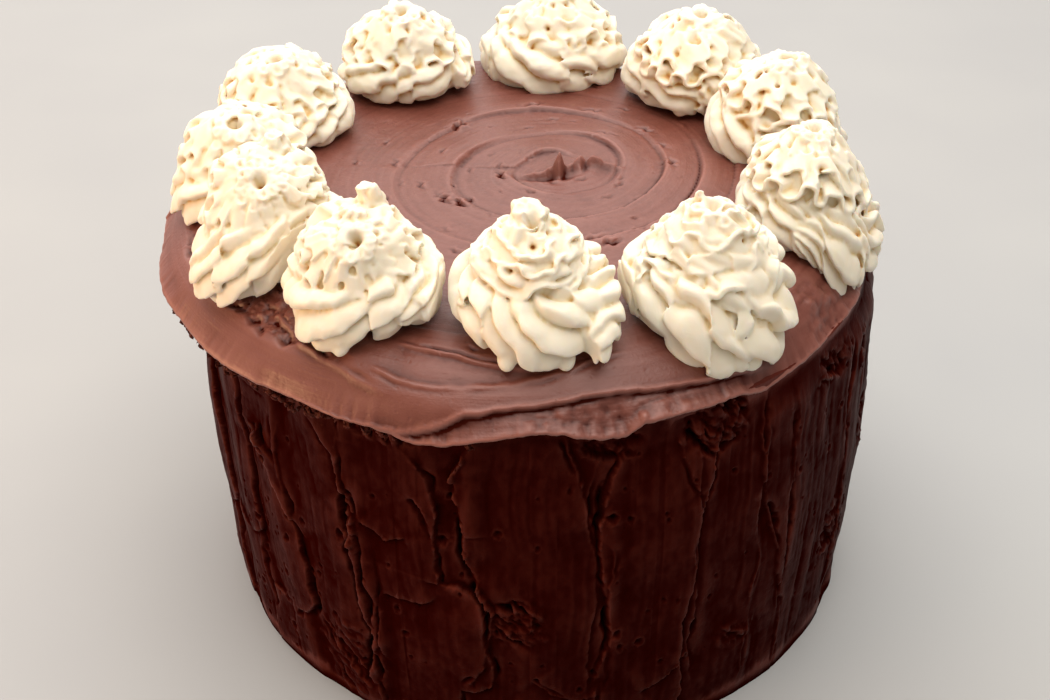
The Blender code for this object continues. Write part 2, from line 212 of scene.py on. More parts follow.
# The rosettes' own sizes: nozzle teeth, depth of the grooves, twist for each turn, the crown's loops, their
# depth in radians, the petals' height as a share, the crown's radius and its middle's height as shares of
# the width and height, its lean to the front in degrees, the torn tip's half width and place to the right
# and to the back in mm, raggedness, seed; then as in the solids: angle about the slab's centre, distance
# from it, width, height, angle at which the rope's tail shows
ROSETTES = [
    (6, 0.52, -1.8, 18, 0.10, 0.7, 0.30, 0.48, 10, 9, -1, 1, 0.3, 3, (-85.5, 72.5, 42, 32, 0)),
    (6, 0.56, -1.5, 30, 0.13, 1.15, 0.33, 0.42, 0, 2.6, -3.0, 3, 0.3, 8, (-53.5, 79.5, 43, 30, 215)),
    (9, 0.48, -1.5, 62, 0.12, 1.0, 0.38, 0.40, 0, 6, 0, 2, 0.3, 12, (-17, 81.5, 41, 28.5, 300)),
    (7, 0.48, -1.6, 60, 0.12, 1.1, 0.38, 0.40, 5, 6, 0, 2, 0.3, 17, (18.5, 81, 43, 27, 80)),
    (7, 0.46, -1.4, 60, 0.12, 1.1, 0.39, 0.38, 5, 6, 1, 2, 0.4, 21, (46.7, 78.3, 43, 28, 120)),
    (6, 0.46, -1.2, 58, 0.12, 1.1, 0.37, 0.38, 5, 8, -1, 2, 0.4, 28, (81, 78.5, 47, 26, 200)),
    (7, 0.46, 1.0, 62, 0.12, 1.1, 0.39, 0.38, 10, 6, 1, 3, 0.4, 31, (118.3, 72.7, 42, 26, 20)),
    (7, 0.46, 0.8, 64, 0.12, 1.1, 0.39, 0.40, 15, 5, 0, 4, 0.4, 39, (153.8, 75.8, 41.5, 23, 330)),
    (7, 0.46, 0.6, 66, 0.12, 1.1, 0.39, 0.42, 25, 4, -2, 4, 0.4, 44, (186.7, 73, 40.5, 25, 210)),
    (7, 0.56, 0.8, 78, 0.12, 1.0, 0.36, 0.42, 35, 7, 2, 7, 0.4, 52, (216.6, 74.8, 41.5, 32.5, 250)),
    (7, 0.56, 0.7, 74, 0.12, 1.0, 0.34, 0.42, 38, 6.4, 2, 7, 0.4, 57, (241.5, 74.5, 40, 31, 350)),
]
SQUEEZE_START = 0.9  # a rosette's side is pressed in from this share of the way to its neighbour
NEAR_ROSETTES = (0, 1, 2, 9, 10)  # those in front of the rest, which get the finer voxels
NEAR_VOXEL = 0.37 * MM
FAR_VOXEL = 0.50 * MM
PATH_STEPS = 1100  # points along a rope's or a ribbon's path

# Stations along the rope of cream: turns made, distance from the axis and rope radius as shares of the
# rosette's width, height as a share of its height
ROPE_STATIONS = [
    (-0.14, 0.490, 0.070, 0.20), (-0.06, 0.400, 0.140, 0.22), (0.08, 0.320, 0.200, 0.23),
    (0.95, 0.290, 0.215, 0.26), (1.25, 0.235, 0.205, 0.42), (1.85, 0.160, 0.165, 0.57),
    (2.20, 0.110, 0.140, 0.70), (2.55, 0.055, 0.110, 0.82), (2.80, 0.020, 0.075, 0.92),
]
ROPE_SIDES = 98
GROOVE_WANDER = 0.16  # how far the nozzle's teeth wander round the rope, in radians
ROPE_RAGGED = 3.2 * MM
# The crown's ribbon, against the share of its path: the angle down from the crown's middle, and the share
# of its length already laid
CROWN_TURNS = 5.6
CROWN_FALL = [(0.0, 1.75), (0.25, 1.35), (0.5, 0.92), (0.75, 0.48), (1.0, 0.10)]
CROWN_RUN = [(0.0, 0.0), (0.25, 0.30), (0.5, 0.57), (0.75, 0.80), (1.0, 1.0)]
CROWN_BALL = 0.97  # the solid ball inside, as a share of the crown's radius
LOOP_WIDTH = 0.5  # how far the ribbon's loops double back
LOOP_WANDER = 2.2  # how unevenly they follow each other
PETAL_LEAN = -0.5  # how far the petals lean to the crown's middle; less than 0 is away from it
RIBBON_HEIGHT = 0.120  # as a share of the rosette's width, as is its thickness
RIBBON_SIDES = 24
RIBBON_THICKNESS = 0.028
TIP_RAGGED = 6 * MM
CRUMB_RAGGED = 3.6 * MM
# The shape of a tooth's ridge across the rope: a slow rise, then a steep fall that overhangs the next one
TOOTH_STATIONS = [(0.0, 0.0), (0.15, 0.38), (0.35, 0.72), (0.58, 0.94), (0.74, 1.0), (0.86, 0.82), (1.0, 0.0)]
AIR_HOLES = 5
CROWN_HOLE = (1.5 * MM, 4.5 * MM)  # half width and depth of the hole in a crown's middle

# Torn flakes of frosting along the lip, as the inputs of their tree
FLAKES = {"Arc Radius": 96.5 * MM, "Arc Start": math.radians(-172), "Arc Sweep": math.radians(78),
          "Height": 103.5 * MM, "Spread": 2.2 * MM, "Count": 220, "Flake Size": 1.9 * MM, "Seed": 4}

# Lumps for each metre in the materials, and in the frosting's streaks: along, across and through
KNIFE_STREAKS = (40, 1400, 1)
FROSTING_PATCHES = 70.0
FROSTING_GRAIN = 1100.0
FROSTING_PORES = 420.0
CREAM_PATCHES = 160.0
CREAM_GRAIN = 2100.0
BUTTERCREAM_IOR = 1.45
# Buttercream from its thin ridges to deep in its grooves; the grooves' darker, yellower colour is painted
# shade, for light that has gone through more of it
CREAM_AND_PAINTED_FOLD_SHADE = ((0.30, "ece4d2"), (0.56, "e8dcc4"), (0.74, "e0cba0"), (0.88, "d0a05c"), (1.0, "aa642c"))

CREASE_PASSES = 14  # rounds of softening that a surface is measured against to find its creases
FOOT_EDGE = 5 * MM  # below this the edge of the flat base is not counted as a ridge, and gets no painted highlight

# The camera's place, how far it looks down and how far it is rolled
CAMERA_PLACE = (-4.95 * MM, -361.44 * MM, 311.53 * MM)
CAMERA_PITCH = math.radians(34.4637)
CAMERA_ROLL = math.radians(0.44)

# The kinds of node that are used most
MATH, VECTOR, RANGE = "ShaderNodeMath", "ShaderNodeVectorMath", "ShaderNodeMapRange"
COMBINE, TURN = "ShaderNodeCombineXYZ", "ShaderNodeVectorRotate"
NOISE, CURVE, RAMP = "ShaderNodeTexNoise", "ShaderNodeFloatCurve", "ShaderNodeValToRGB"
STORE, KEPT = "GeometryNodeStoreNamedAttribute", "GeometryNodeInputNamedAttribute"
MOVE, SWEEP, SPOT = "GeometryNodeSetPosition", "GeometryNodeCurveToMesh", "GeometryNodeInputPosition"
RANDOM = "FunctionNodeRandomValue"
SEEDED = {"noise_dimensions": "4D"}  # the noise's fourth number, W, takes the seed
LIKELY = {1: 0.3, 2: 0.7}  # the range noise mostly keeps to, as a Map Range's From sockets


def smoothstep(low, high, value):
    share = np.clip((value - low) / (high - low), 0.0, 1.0)
    return share * share * (3 - 2 * share)


def plateau(value, start, full, falling, end):
    """1 from full to falling, running out to 0 at the start and the end."""
    return smoothstep(start, full, value) * smoothstep(end, falling, value)


def bell(value, width):
    return np.exp(-((value / width) ** 2))


def lumps(u, v, seed, around=4096):
    """Smooth noise from -1 to 1 with one lump to each unit; u comes round again after so many lumps."""
    table = np.random.default_rng(seed).uniform(-1, 1, 4096)
    u, v = np.broadcast_arrays(u, v)
    column, row = np.floor(u).astype(np.int64), np.floor(v).astype(np.int64)
    fu, fv = u - column, v - row
    fu, fv = fu * fu * (3 - 2 * fu), fv * fv * (3 - 2 * fv)
    left, right = column % around, (column + 1) % around
    below, above = row * 1619, (row + 1) * 1619
    low = table[(left + below) % 4096] * (1 - fu) + table[(right + below) % 4096] * fu
    high = table[(left + above) % 4096] * (1 - fu) + table[(right + above) % 4096] * fu
    return low * (1 - fv) + high * fv


def rough(u, v, seed, octaves=4, around=4096):
    """Broken noise: lumps with finer and finer lumps on them."""
    total = 0
    for octave in range(octaves):
        scale = 2**octave
        total = total + lumps(u * scale, v * scale, seed + octave, around * scale) / scale
    return total / 1.6


def rough_mm(x, y, size, seed, octaves=4):
    """Broken noise over places in metres. Its largest lumps are this many mm across, or across and up."""
    wide, tall = np.broadcast_to(size, 2) * MM
    return rough(x / wide, y / tall, seed, octaves)


def line_distance(points, x, y):
    """Distance from a line of points, its sign (+ on the right going down the list) and share along it."""
    points = np.array(points, dtype=float)
    lengths = np.hypot(*np.diff(points, axis=0).T)
    run = np.concatenate([[0], np.cumsum(lengths)])
    best, side, along = np.full(np.shape(x), np.inf), np.zeros(np.shape(x)), np.zeros(np.shape(x))
    for number, (start, end) in enumerate(zip(points[:-1], points[1:])):
        step = end - start
        share = np.clip(((x - start[0]) * step[0] + (y - start[1]) * step[1]) / (step @ step), 0, 1)
        away_x, away_y = x - start[0] - share * step[0], y - start[1] - share * step[1]
        distance = np.hypot(away_x, away_y)
        nearer = distance < best
        best = np.where(nearer, distance, best)
        side = np.where(nearer, np.sign(away_x * step[1] - away_y * step[0]), side)
        along = np.where(nearer, (run[number] + share * lengths[number]) / run[-1], along)
    return best, side, along


class Relief:
    """Frosting painted over a patch of surface: how far it stands out, and how far it hangs sideways."""

    def __init__(self, across, up):
        self.across, self.up = across, up
        self.out = np.zeros(across.shape)
        self.hang = np.zeros((2, *across.shape))

    def window(self, low, high):
        """The part of the patch between two corners, each across and up, or None if it misses the patch."""
        inside = (self.across > low[0]) & (self.across < high[0]) & (self.up > low[1]) & (self.up < high[1])
        rows, columns = np.flatnonzero(inside.any(1)), np.flatnonzero(inside.any(0))
        if len(rows) < 3 or len(columns) < 3:
            return None
        return slice(rows[0], rows[-1] + 1), slice(columns[0], columns[-1] + 1)


def paint_edge(relief, here, edge, burr, crevice, seed):
    """Raises a ragged burr along an edge and cuts the crevice outside it. edge is 0 there, more outside."""
    across, up = relief.across[here], relief.up[here]
    broken = np.clip(2.2 * rough_mm(across, up, (2.0, 2.8), seed) - 0.1, 0, 1.8)
    gap = np.clip(0.25 + 1.4 * rough_mm(across, up, (6, 9), seed + 9, 3), 0, 1.4)
    width = CREVICE_WIDTH * (0.7 + 0.8 * gap)
    ridge = burr * broken * bell(edge + 0.2 * MM, BURR_WIDTH)
    relief.out[here] += ridge - crevice * gap * bell(edge - 1.7 * width, width)
    outward = np.stack(np.gradient(edge))
    outward = outward / np.maximum(np.hypot(*outward), 1e-12)
    relief.hang[0][here] += HANG_OVER * ridge * outward[1]
    relief.hang[1][here] += HANG_OVER * ridge * outward[0]


def paint_tongue(relief, tongue, seed):
    """One knife stroke: a smooth streaked face with a sharp edge on one side, running out on the other."""
    centre, foot, head, half, proud, tilt, drift, rounding, burr, crevice = tongue
    half, length, corner = half * MM, (head - foot) * MM, half * max(rounding, 0.7) * MM
    middle = (foot + head) / 2 * MM
    reach = half + abs(drift) * MM + 5 * MM
    here = relief.window((centre - reach, foot * MM - 5 * MM), (centre + reach, head * MM + 5 * MM))
    if here is None:
        return
    up = relief.up[here] - middle
    bend = drift * MM * up / length + 1.8 * MM * rough(up / (17 * MM), 0, seed, 2)
    across = (relief.across[here] - centre - bend) * np.sign(tilt)
    wavy = 1.5 * MM * rough(3.3, up / (11 * MM), seed + 1, 5)
    ragged = RAGGED_EDGE * rough_mm(across, up, 3.5, seed + 2, 5)
    past_side, past_end = across - (half - corner) + wavy, np.abs(up) - (length / 2 - corner)
    edge = np.hypot(np.maximum(past_side, 0), np.maximum(past_end, 0))
    edge = edge + np.minimum(np.maximum(past_side, past_end), 0) - corner + ragged
    share = np.clip(across / half, -1, 1)
    swell = share - 1.9 * np.maximum(share - 0.35, 0) ** 1.6
    face = (proud + abs(tilt) * swell - 0.35 * (1 - share**2)) * MM - WALL_SET_BACK
    face = face + STREAK_DEPTH * lumps(across / STREAK_WIDTH, up / (34 * MM), seed + 3)
    face = face + 0.55 * MM * lumps(across / (11 * MM), up / (16 * MM), seed + 4)
    run_out = smoothstep(length / 2, length / 2 - RUN_OUT, np.abs(up))
    strength = smoothstep(-half, SOFT_SIDE - half, across) * (rounding + (1 - rounding) * run_out)
    inside = smoothstep(0.3 * MM, -0.3 * MM, edge) * strength
    relief.out[here] = relief.out[here] * (1 - inside) + face * inside
    for hang in relief.hang:
        hang[here] *= 1 - inside
    at_end = smoothstep(-1 * MM, 1 * MM, past_end - past_side)
    strength = strength * smoothstep(-0.6, 0.5, share) * (1 - 0.8 * at_end)
    paint_edge(relief, here, edge, burr * MM * strength, crevice * MM * strength, seed + 5)


def paint_seam(relief, seam, to_across, seed):
    """A ragged seam between two strokes: a step, a burr and a crevice along a line of points."""
    burr, crevice, crevice_side, step, points = seam
    points = np.array([(to_across(degrees), height * MM) for degrees, height in points])
    here = relief.window(points.min(0) - 9 * MM, points.max(0) + 9 * MM)
    x, y = relief.across[here], relief.up[here]
    x = x + 0.9 * MM * rough_mm(x, y, 5, seed, 5)
    distance, side, along = line_distance(points, x, y)
    fade = smoothstep(0, 0.12, along) * smoothstep(1, 0.88, along)
    fade = fade * np.clip(0.9 + 0.6 * rough_mm(x, y, 9, seed + 2, 2), 0.3, 1.2)
    signed = distance * side
    spread = np.exp(-distance / STEP_SPREAD)
    relief.out[here] += -step * MM * fade * spread * np.tanh(signed / STEP_WIDTH)
    paint_edge(relief, here, signed * crevice_side, burr * MM * fade, crevice * MM * fade, seed + 3)


def paint_tear(relief, tear, to_across, seed):
    """A place where the frosting was dragged off in lumps and holes."""
    angle, height, half_width, half_height, depth = tear
    middle, half = np.array([to_across(angle), height * MM]), np.array([half_width, half_height]) * MM
    here = relief.window(middle - 1.6 * half, middle + 1.6 * half)
    x, y = relief.across[here], relief.up[here]
    reach = np.hypot((x - middle[0]) / half[0], (y - middle[1]) / half[1])
    inside = smoothstep(1.35, 0.7, reach + 0.35 * rough_mm(x, y, 5, seed, 3))
    slanted = x + 0.5 * y
    holes = smoothstep(0.0, 0.35, rough_mm(slanted, y, (4.5, 9), seed + 8))
    crumbs = rough_mm(slanted, y, (2.2, 2.6), seed + 4)
    relief.out[here] += inside * depth * MM * (0.15 + 0.55 * crumbs - 0.95 * holes)
    relief.hang[0][here] += inside * 0.6 * MM * rough_mm(x, y, 2.2, seed + 12, 2)


def paint_pits(relief, count, bounds, seed):
    """Round pits left by air in the frosting, each with a slightly raised rim."""
    random = np.random.default_rng(seed)
    for _ in range(count):
        middle = np.array([random.uniform(*bounds[0]), random.uniform(*bounds[1])])
        radius = random.uniform(*PIT_RADIUS) * random.uniform(0.5, 1)
        here = relief.window(middle - 3 * radius, middle + 3 * radius)
        if here is None:
            continue
        squash = random.uniform(0.6, 1)
        x, y = relief.across[here], relief.up[here]
        distance = np.hypot(x - middle[0], (y - middle[1]) * squash)
        distance = distance * (1 + 0.35 * lumps(x / radius, y / radius, 12))
        relief.out[here] += -0.9 * radius * bell(distance, radius)
        relief.out[here] += 0.22 * radius * bell(distance - 1.5 * radius, 0.5 * radius)


def older_strokes(random, circumference):
    """The strokes under the placed ones, all round the wall, as rows like those of TONGUES."""
    strokes = []
    for number in range(OLDER_STROKES):
        length = random.uniform(55, 112)
        foot = random.choice([-6.0, random.uniform(-6, 108 - length)])
        across = (number + random.uniform(-0.6, 0.6)) / OLDER_STROKES * circumference - circumference / 2
        tilt = random.uniform(0.4, 1.2) * random.choice([-1, 1])
        half, proud = random.uniform(7.5, 12.5), random.uniform(-0.7, 0.7)
        drift, rounding = random.uniform(-5, 5), random.uniform(0.0, 0.4)
        burr, crevice = random.uniform(0.05, 0.2), random.uniform(0.2, 0.8)
        strokes.append((across, foot, foot + length, half, proud, tilt, drift, rounding, burr, crevice))
    random.shuffle(strokes)
    return strokes


def wall_relief(angle, height):
    """The whole wall's frosting, wrapped flat and painted from the oldest stroke to the newest."""
    radius, columns = WALL_TOP_RADIUS, len(angle)
    circumference = math.tau * radius
    # Some of the wall is painted twice, past each end, so that both ends can be blended into one
    extra = int(math.radians(14) / math.tau * columns)
    wide = np.concatenate([angle[-extra:] - math.tau, angle, angle[:extra] + math.tau])
    across, up = np.meshgrid(wide * radius, height)
    relief = Relief(across, up)
    around = 40
    relief.out += 0.8 * MM * lumps(across / radius / math.tau * around, up / (26 * MM), 3, around)

    def to_across(degrees):
        return math.radians(degrees) * radius

    strokes = older_strokes(np.random.default_rng(23), circumference)
    strokes += [(to_across(tongue[0]), *tongue[1:]) for tongue in TONGUES]
    for number, stroke in enumerate(strokes):
        for turn in (-circumference, 0, circumference):
            paint_tongue(relief, (stroke[0] + turn, *stroke[1:]), 100 + 11 * number)
    for first_seed, paint, rows in ((2000, paint_seam, SEAMS), (3000, paint_tear, TEARS)):
        for number, row in enumerate(rows):
            paint(relief, row, to_across, first_seed + 17 * number)
    paint_pits(relief, PITS, ((-circumference / 2, circumference / 2), (3 * MM, 100 * MM)), 9)
    paint_pits(relief, LEFT_PITS, ((to_across(-150), to_across(-118)), (8 * MM, 60 * MM)), 10)
    relief.out += 0.10 * MM * rough_mm(across, up, (1.6, 2.6), 41, 3)
    blend = smoothstep(0, 1, np.linspace(0, 1, extra))
    painted = np.concatenate([relief.out[None], relief.hang])
    once = painted[..., extra : extra + columns].copy()
    once[..., :extra] = once[..., :extra] * blend + painted[..., -extra:] * (1 - blend)
    return once[0], once[1:]


def lip_shift(angle, radius):
    """How far the slab's lip bulges out or draws back at an angle about the slab's centre."""
    bulge = angle - FOLD_MIDDLE + 0.3
    wave = LIP_WAVE * (0.6 * np.cos(bulge) + np.cos(2 * bulge))
    turn = angle / math.tau
    ragged = LIP_RAGGED * lumps(turn * 44, 0, 5, 44) + 0.2 * MM * rough(turn * 200, 0, 6, 3, 200)
    near_lip = smoothstep(SLAB_RADIUS - 3 * MM, SLAB_RADIUS, radius)
    return wave * smoothstep(SHOULDER_RADIUS, SLAB_RADIUS, radius) + ragged * near_lip


def shoulder_height(radius):
    """The slab's plain height at a distance from its centre, as in the solid."""
    share = np.clip((radius - SHOULDER_RADIUS) / (SLAB_RADIUS - SHOULDER_RADIUS), 0, 1)
    return SLAB_TOP - (SLAB_TOP - LIP_HEIGHT) * share**SHOULDER_POWER


def grid_faces(rows, columns):
    """Quads over rows of points that close round on themselves, facing outwards when rows go up."""
    row, column = np.meshgrid(np.arange(rows - 1), np.arange(columns), indexing="ij")
    beside = (column + 1) % columns
    corners = [row * columns + column, row * columns + beside]
    corners += [(row + 1) * columns + beside, (row + 1) * columns + column]
    return np.stack(corners, -1).reshape(-1, 4)


def mesh_of(name, points, quads, triangles=()):
    faces = np.asarray(quads).tolist() + np.asarray(triangles).tolist()
    mesh = bpy.data.meshes.new(name)
    mesh.from_pydata(np.asarray(points).tolist(), [], faces)
    mesh.update()
    return mesh


def evaluated_mesh(obj):
    """The object's mesh with its modifiers worked in. The object and its own mesh are gone."""
    bpy.context.view_layer.update()
    worked = bpy.data.meshes.new_from_object(obj.evaluated_get(bpy.context.evaluated_depsgraph_get()))
    plain = obj.data
    name = plain.name
    bpy.data.objects.remove(obj)
    bpy.data.meshes.remove(plain)
    worked.name = name
    return worked


def loose_object(mesh):
    obj = bpy.data.objects.new(mesh.name, mesh)
    bpy.context.scene.collection.objects.link(obj)
    return obj


def thinned(mesh, triangles):
    """The mesh with about so many triangles, kept where the surface is rough."""
    obj = loose_object(mesh)
    present = sum(len(face.vertices) - 2 for face in mesh.polygons)
    thin = obj.modifiers.new("thin", "DECIMATE")
    thin.ratio = min(1.0, triangles / present)
    return evaluated_mesh(obj)


def point_array(mesh):
    points = np.empty(len(mesh.vertices) * 3)
    mesh.vertices.foreach_get("co", points)
    return points.reshape(-1, 3)


def edge_array(mesh):
    edges = np.empty(len(mesh.edges) * 2, dtype=np.int64)
    mesh.edges.foreach_get("vertices", edges)
    return edges.reshape(-1, 2)


def set_points(mesh, points):
    mesh.vertices.foreach_set("co", points.ravel())
    mesh.update()


def soften(points, edges, passes, share=0.5):
    """Moves each point some way towards the middle of the points it is joined to, several times."""
    size, ways = len(points), (edges.T, edges.T[::-1])
    count = sum(np.bincount(ends, minlength=size) for ends, _ in ways)
    count = np.maximum(count, 1)[:, None]
    for _ in range(passes):
        total = [sum(np.bincount(ends, at[others], size) for ends, others in ways) for at in points.T]
        points = points + share * (np.stack(total, -1) / count - points)
    return points


def mark_creases(mesh, depth, passes=CREASE_PASSES):
    """Writes each point's hollow, from -1 on a sharp ridge to 1 deep in a crease, for the materials' painted
    shade and highlight.
    """
    points = point_array(mesh)
    smooth = soften(points, edge_array(mesh), passes)
    normals = np.empty(len(points) * 3)
    mesh.vertices.foreach_get("normal", normals)
    hollow = np.einsum("ij,ij->i", smooth - points, normals.reshape(-1, 3)) / depth
    hollow = np.clip(hollow, 1.3 * smoothstep(FOOT_EDGE, 0, points[:, 2]) - 1, 1)
    layer = mesh.attributes.new("hollow", "FLOAT", "POINT")
    layer.data.foreach_set("value", hollow.astype(np.float32))


def mark_knife_way(mesh, along, across):
    """Writes where each point lies along and across the knife's way, in metres."""
    layer = mesh.attributes.new("knife_way", "FLOAT_VECTOR", "POINT")
    values = np.stack([along, across, np.zeros(len(along))], -1)
    layer.data.foreach_set("vector", values.astype(np.float32).ravel())


def finished(mesh, material_made, slot_name, *nodes):
    """Makes a finished mesh a piece of the cake that stands for the given solids."""
    mesh.materials.clear()
    mesh.materials.append(material_made)
    mesh.polygons.foreach_set("material_index", [0] * len(mesh.polygons))
    mesh.polygons.foreach_set("use_smooth", [True] * len(mesh.polygons))
    obj = loose_object(mesh)
    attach(obj, "root")
    if nodes:
        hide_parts(*nodes)
    return obj


def wall_frosting():
    """The frosted wall with its flat base, closed at the top inside the slab."""
    angle = np.linspace(-math.pi, math.pi, WALL_COLUMNS, endpoint=False)
    height = np.linspace(0, WALL_TOP, WALL_ROWS)
    out, hang = wall_relief(angle, height)
    angle, z = np.meshgrid(angle, height)
    share = np.clip(z / WALL_HEIGHT, 0, 1)
    radius = WALL_BOTTOM_RADIUS + (WALL_TOP_RADIUS - WALL_BOTTOM_RADIUS) * share
    radius = radius + WALL_BELLY * np.sin(math.pi * share)
    foot = smoothstep(0, 2.5 * MM, z)
    radius = radius + out * (0.4 + 0.6 * foot)
    angle = angle + hang[0] * foot / radius
    x = radius * np.cos(angle) - WALL_LEAN * share
    y = radius * np.sin(angle)
    z = z + hang[1] * foot * smoothstep(WALL_TOP, WALL_TOP - 4 * MM, z)
    # Near the top the wall is drawn in to stay inside the slab
    from_slab = np.hypot(x - SLAB_CENTRE_X, y)
    limit = SLAB_RADIUS - 0.5 * MM - 7 * MM * smoothstep(WALL_TOP - 1 * MM, WALL_TOP, z)
    near_top = smoothstep(96 * MM, WALL_TOP - 1.5 * MM, z)
    pull = 1 - near_top * (1 - np.minimum(1, limit / from_slab))
    x, y = SLAB_CENTRE_X + (x - SLAB_CENTRE_X) * pull, y * pull
    points = np.stack([x, y, z], -1).reshape(-1, 3)
    last = len(points)
    points = np.vstack([points, [[-WALL_LEAN, 0, WALL_TOP], [0, 0, 0]]])
    ring = np.arange(WALL_COLUMNS)
    beside, middle = (ring + 1) % WALL_COLUMNS, np.full(WALL_COLUMNS, last)
    top_row = last - WALL_COLUMNS
    lid = np.stack([top_row + ring, top_row + beside, middle], -1)
    base = np.stack([beside, ring, middle + 1], -1)
    mesh = mesh_of("wall_frosting", points, grid_faces(WALL_ROWS, WALL_COLUMNS), np.vstack([lid, base]))
    mesh = thinned(mesh, FROSTING_TRIANGLES)
    x, y, z = point_array(mesh).T
    mark_knife_way(mesh, z, np.arctan2(y, x) * WALL_TOP_RADIUS)
    mark_creases(mesh, 0.75 * MM)
    return mesh


def spiral_share(x, y):
    """Where a point lies between two ledges of the spiral, from 0 just past one to 1 before the next."""
    dx, dy = x - SWIRL_CENTRE[0], y - SWIRL_CENTRE[1]
    angle, distance = np.arctan2(dy, dx), np.hypot(dx, dy)
    stretched = distance * (1 + 0.2 * np.cos(angle) + 0.05 * np.cos(2 * angle + 1))
    drift = 1.3 * MM * lumps(angle / math.tau * 9, distance / (12 * MM), 21, 9)
    turns = (stretched + drift) / SPIRAL_PITCH - angle / math.tau - 0.35
    return turns, angle, distance


def crest_height(x, y):
    """The torn crest: thin jagged peaks along a line, and the crevice in front of them."""
    points = [(right * MM, back * MM) for right, back, _ in CREST]
    distance = line_distance(points, x, y)[0]
    peaks = np.interp(x, [p[0] for p in points], [height * MM for *_, height in CREST])
    width = 0.75 * MM + 0.18 * peaks
    ragged = 1 + 0.3 * rough(x / (1.2 * MM), y / (1.2 * MM), 71, 2)
    ridge = peaks * ragged * np.exp(-((distance / width) ** 1.4))
    low = np.hypot((x - 1 * MM) / (6.5 * MM), (y - 1.2 * MM) / (1.5 * MM))
    return ridge - 1.5 * MM * np.exp(-(low**2))


def drawn_pits(x, y):
    """Torn pits drawn out along the spiral, each with its far edge raised."""
    random = np.random.default_rng(77)
    pits = [tuple(value * MM for value in pit) for pit in DRAWN_PITS]
    for _ in range(SMALL_DRAWN_PITS):
        turn, distance = random.uniform(0, math.tau), random.uniform(8, 92) * MM
        half, depth = random.uniform(0.6, 2.2) * MM, random.uniform(0.2, 0.6) * MM
        pits.append((SLAB_CENTRE_X + distance * math.cos(turn), distance * math.sin(turn), half, depth))
    total = np.zeros_like(x)
    for px, py, half, depth in pits:
        near = np.hypot(x - px, y - py) < 4 * half
        turn = math.atan2(py - SWIRL_CENTRE[1], px - SWIRL_CENTRE[0]) + math.pi / 2
        dx, dy = x[near] - px, y[near] - py
        along = dx * math.cos(turn) + dy * math.sin(turn)
        across = -dx * math.sin(turn) + dy * math.cos(turn)
        across = across + 0.3 * half * lumps(along / (0.8 * MM), 0, 5)
        wide = 0.24 * half + 0.2 * MM
        total[near] += -depth * bell(along, half) * bell(across, wide)
        total[near] += 0.4 * depth * bell(along, half) * bell(across - 1.8 * wide, wide)
    return total


def top_relief(x, y):
    """How far the frosting stands above the slab's plain surface at a plan position."""
    turns, angle, distance = spiral_share(x, y)
    share, turn = turns % 1.0, np.floor(turns)
    strength = np.clip(0.6 + 0.9 * lumps(angle / math.tau * 6 + turn * 3.1, turn, 31), 0.05, 1.25)
    ledge = smoothstep(0.0, LEDGE_RISE, share) * (1 - smoothstep(LEDGE_RISE, 1.0, share))
    lip = bell(share - 0.09, 0.04) * 0.3 - bell(share - 0.98, 0.03) * 0.18
    fade = smoothstep(SPIRAL_REACH, SPIRAL_REACH - 22 * MM, distance) * smoothstep(2 * MM, 8 * MM, distance)
    relief = SPIRAL_DEPTH * strength * (ledge + lip) * fade
    streaks = lumps(turns * SPIRAL_PITCH / (0.75 * MM), angle * distance / (30 * MM), 33)
    relief = relief + SPIRAL_STREAK * streaks + 0.35 * MM * rough_mm(x, y, 17, 35, 3)
    relief = relief + 0.06 * MM * rough_mm(x, y, 1.1, 36, 2)
    return relief + drawn_pits(x, y) + crest_height(x, y)


def shoulder_relief(angle, radius):
    """The knife's marks on the slab's shoulder, by angle about the slab's centre and distance from it."""
    along, degrees = angle * SHOULDER_ARC, np.degrees(angle)
    streaks = 0.10 * MM * rough_mm(radius, along, (1.2, 22), 51, 2)
    swells = 0.5 * MM * lumps(radius / (9 * MM), along / (30 * MM), 52)
    relief = smoothstep(76 * MM, 84 * MM, radius) * (streaks + swells)
    # At the left the frosting was torn off in plates, at the right it is lumpy, and the fold's edge is torn
    ragged_in = 1.6 * MM * rough(along / (6 * MM), 0, 53, 3)
    plates = np.floor(rough_mm(along, radius, (4.6, 2.4), 54) * 3.5) / 3.5
    patch = plateau(degrees, -168, -160, -120, -113) * smoothstep(78 * MM, 82 * MM, radius)
    patch = patch * smoothstep(91.5 * MM, 90 * MM, radius + ragged_in)
    lumpy = plateau(degrees, -44, -34, -12, -2) * smoothstep(86 * MM, 92 * MM, radius)
    torn = plateau(degrees, -90, -84, -68, -62) * smoothstep(93 * MM, 96 * MM, radius)
    relief = relief + patch * MM * (1.1 * plates - 0.9)
    relief = relief + lumpy * MM * 1.1 * rough_mm(along, radius, (6, 4), 55)
    return relief + torn * MM * 1.2 * rough_mm(along, radius, (5, 2.5), 56)


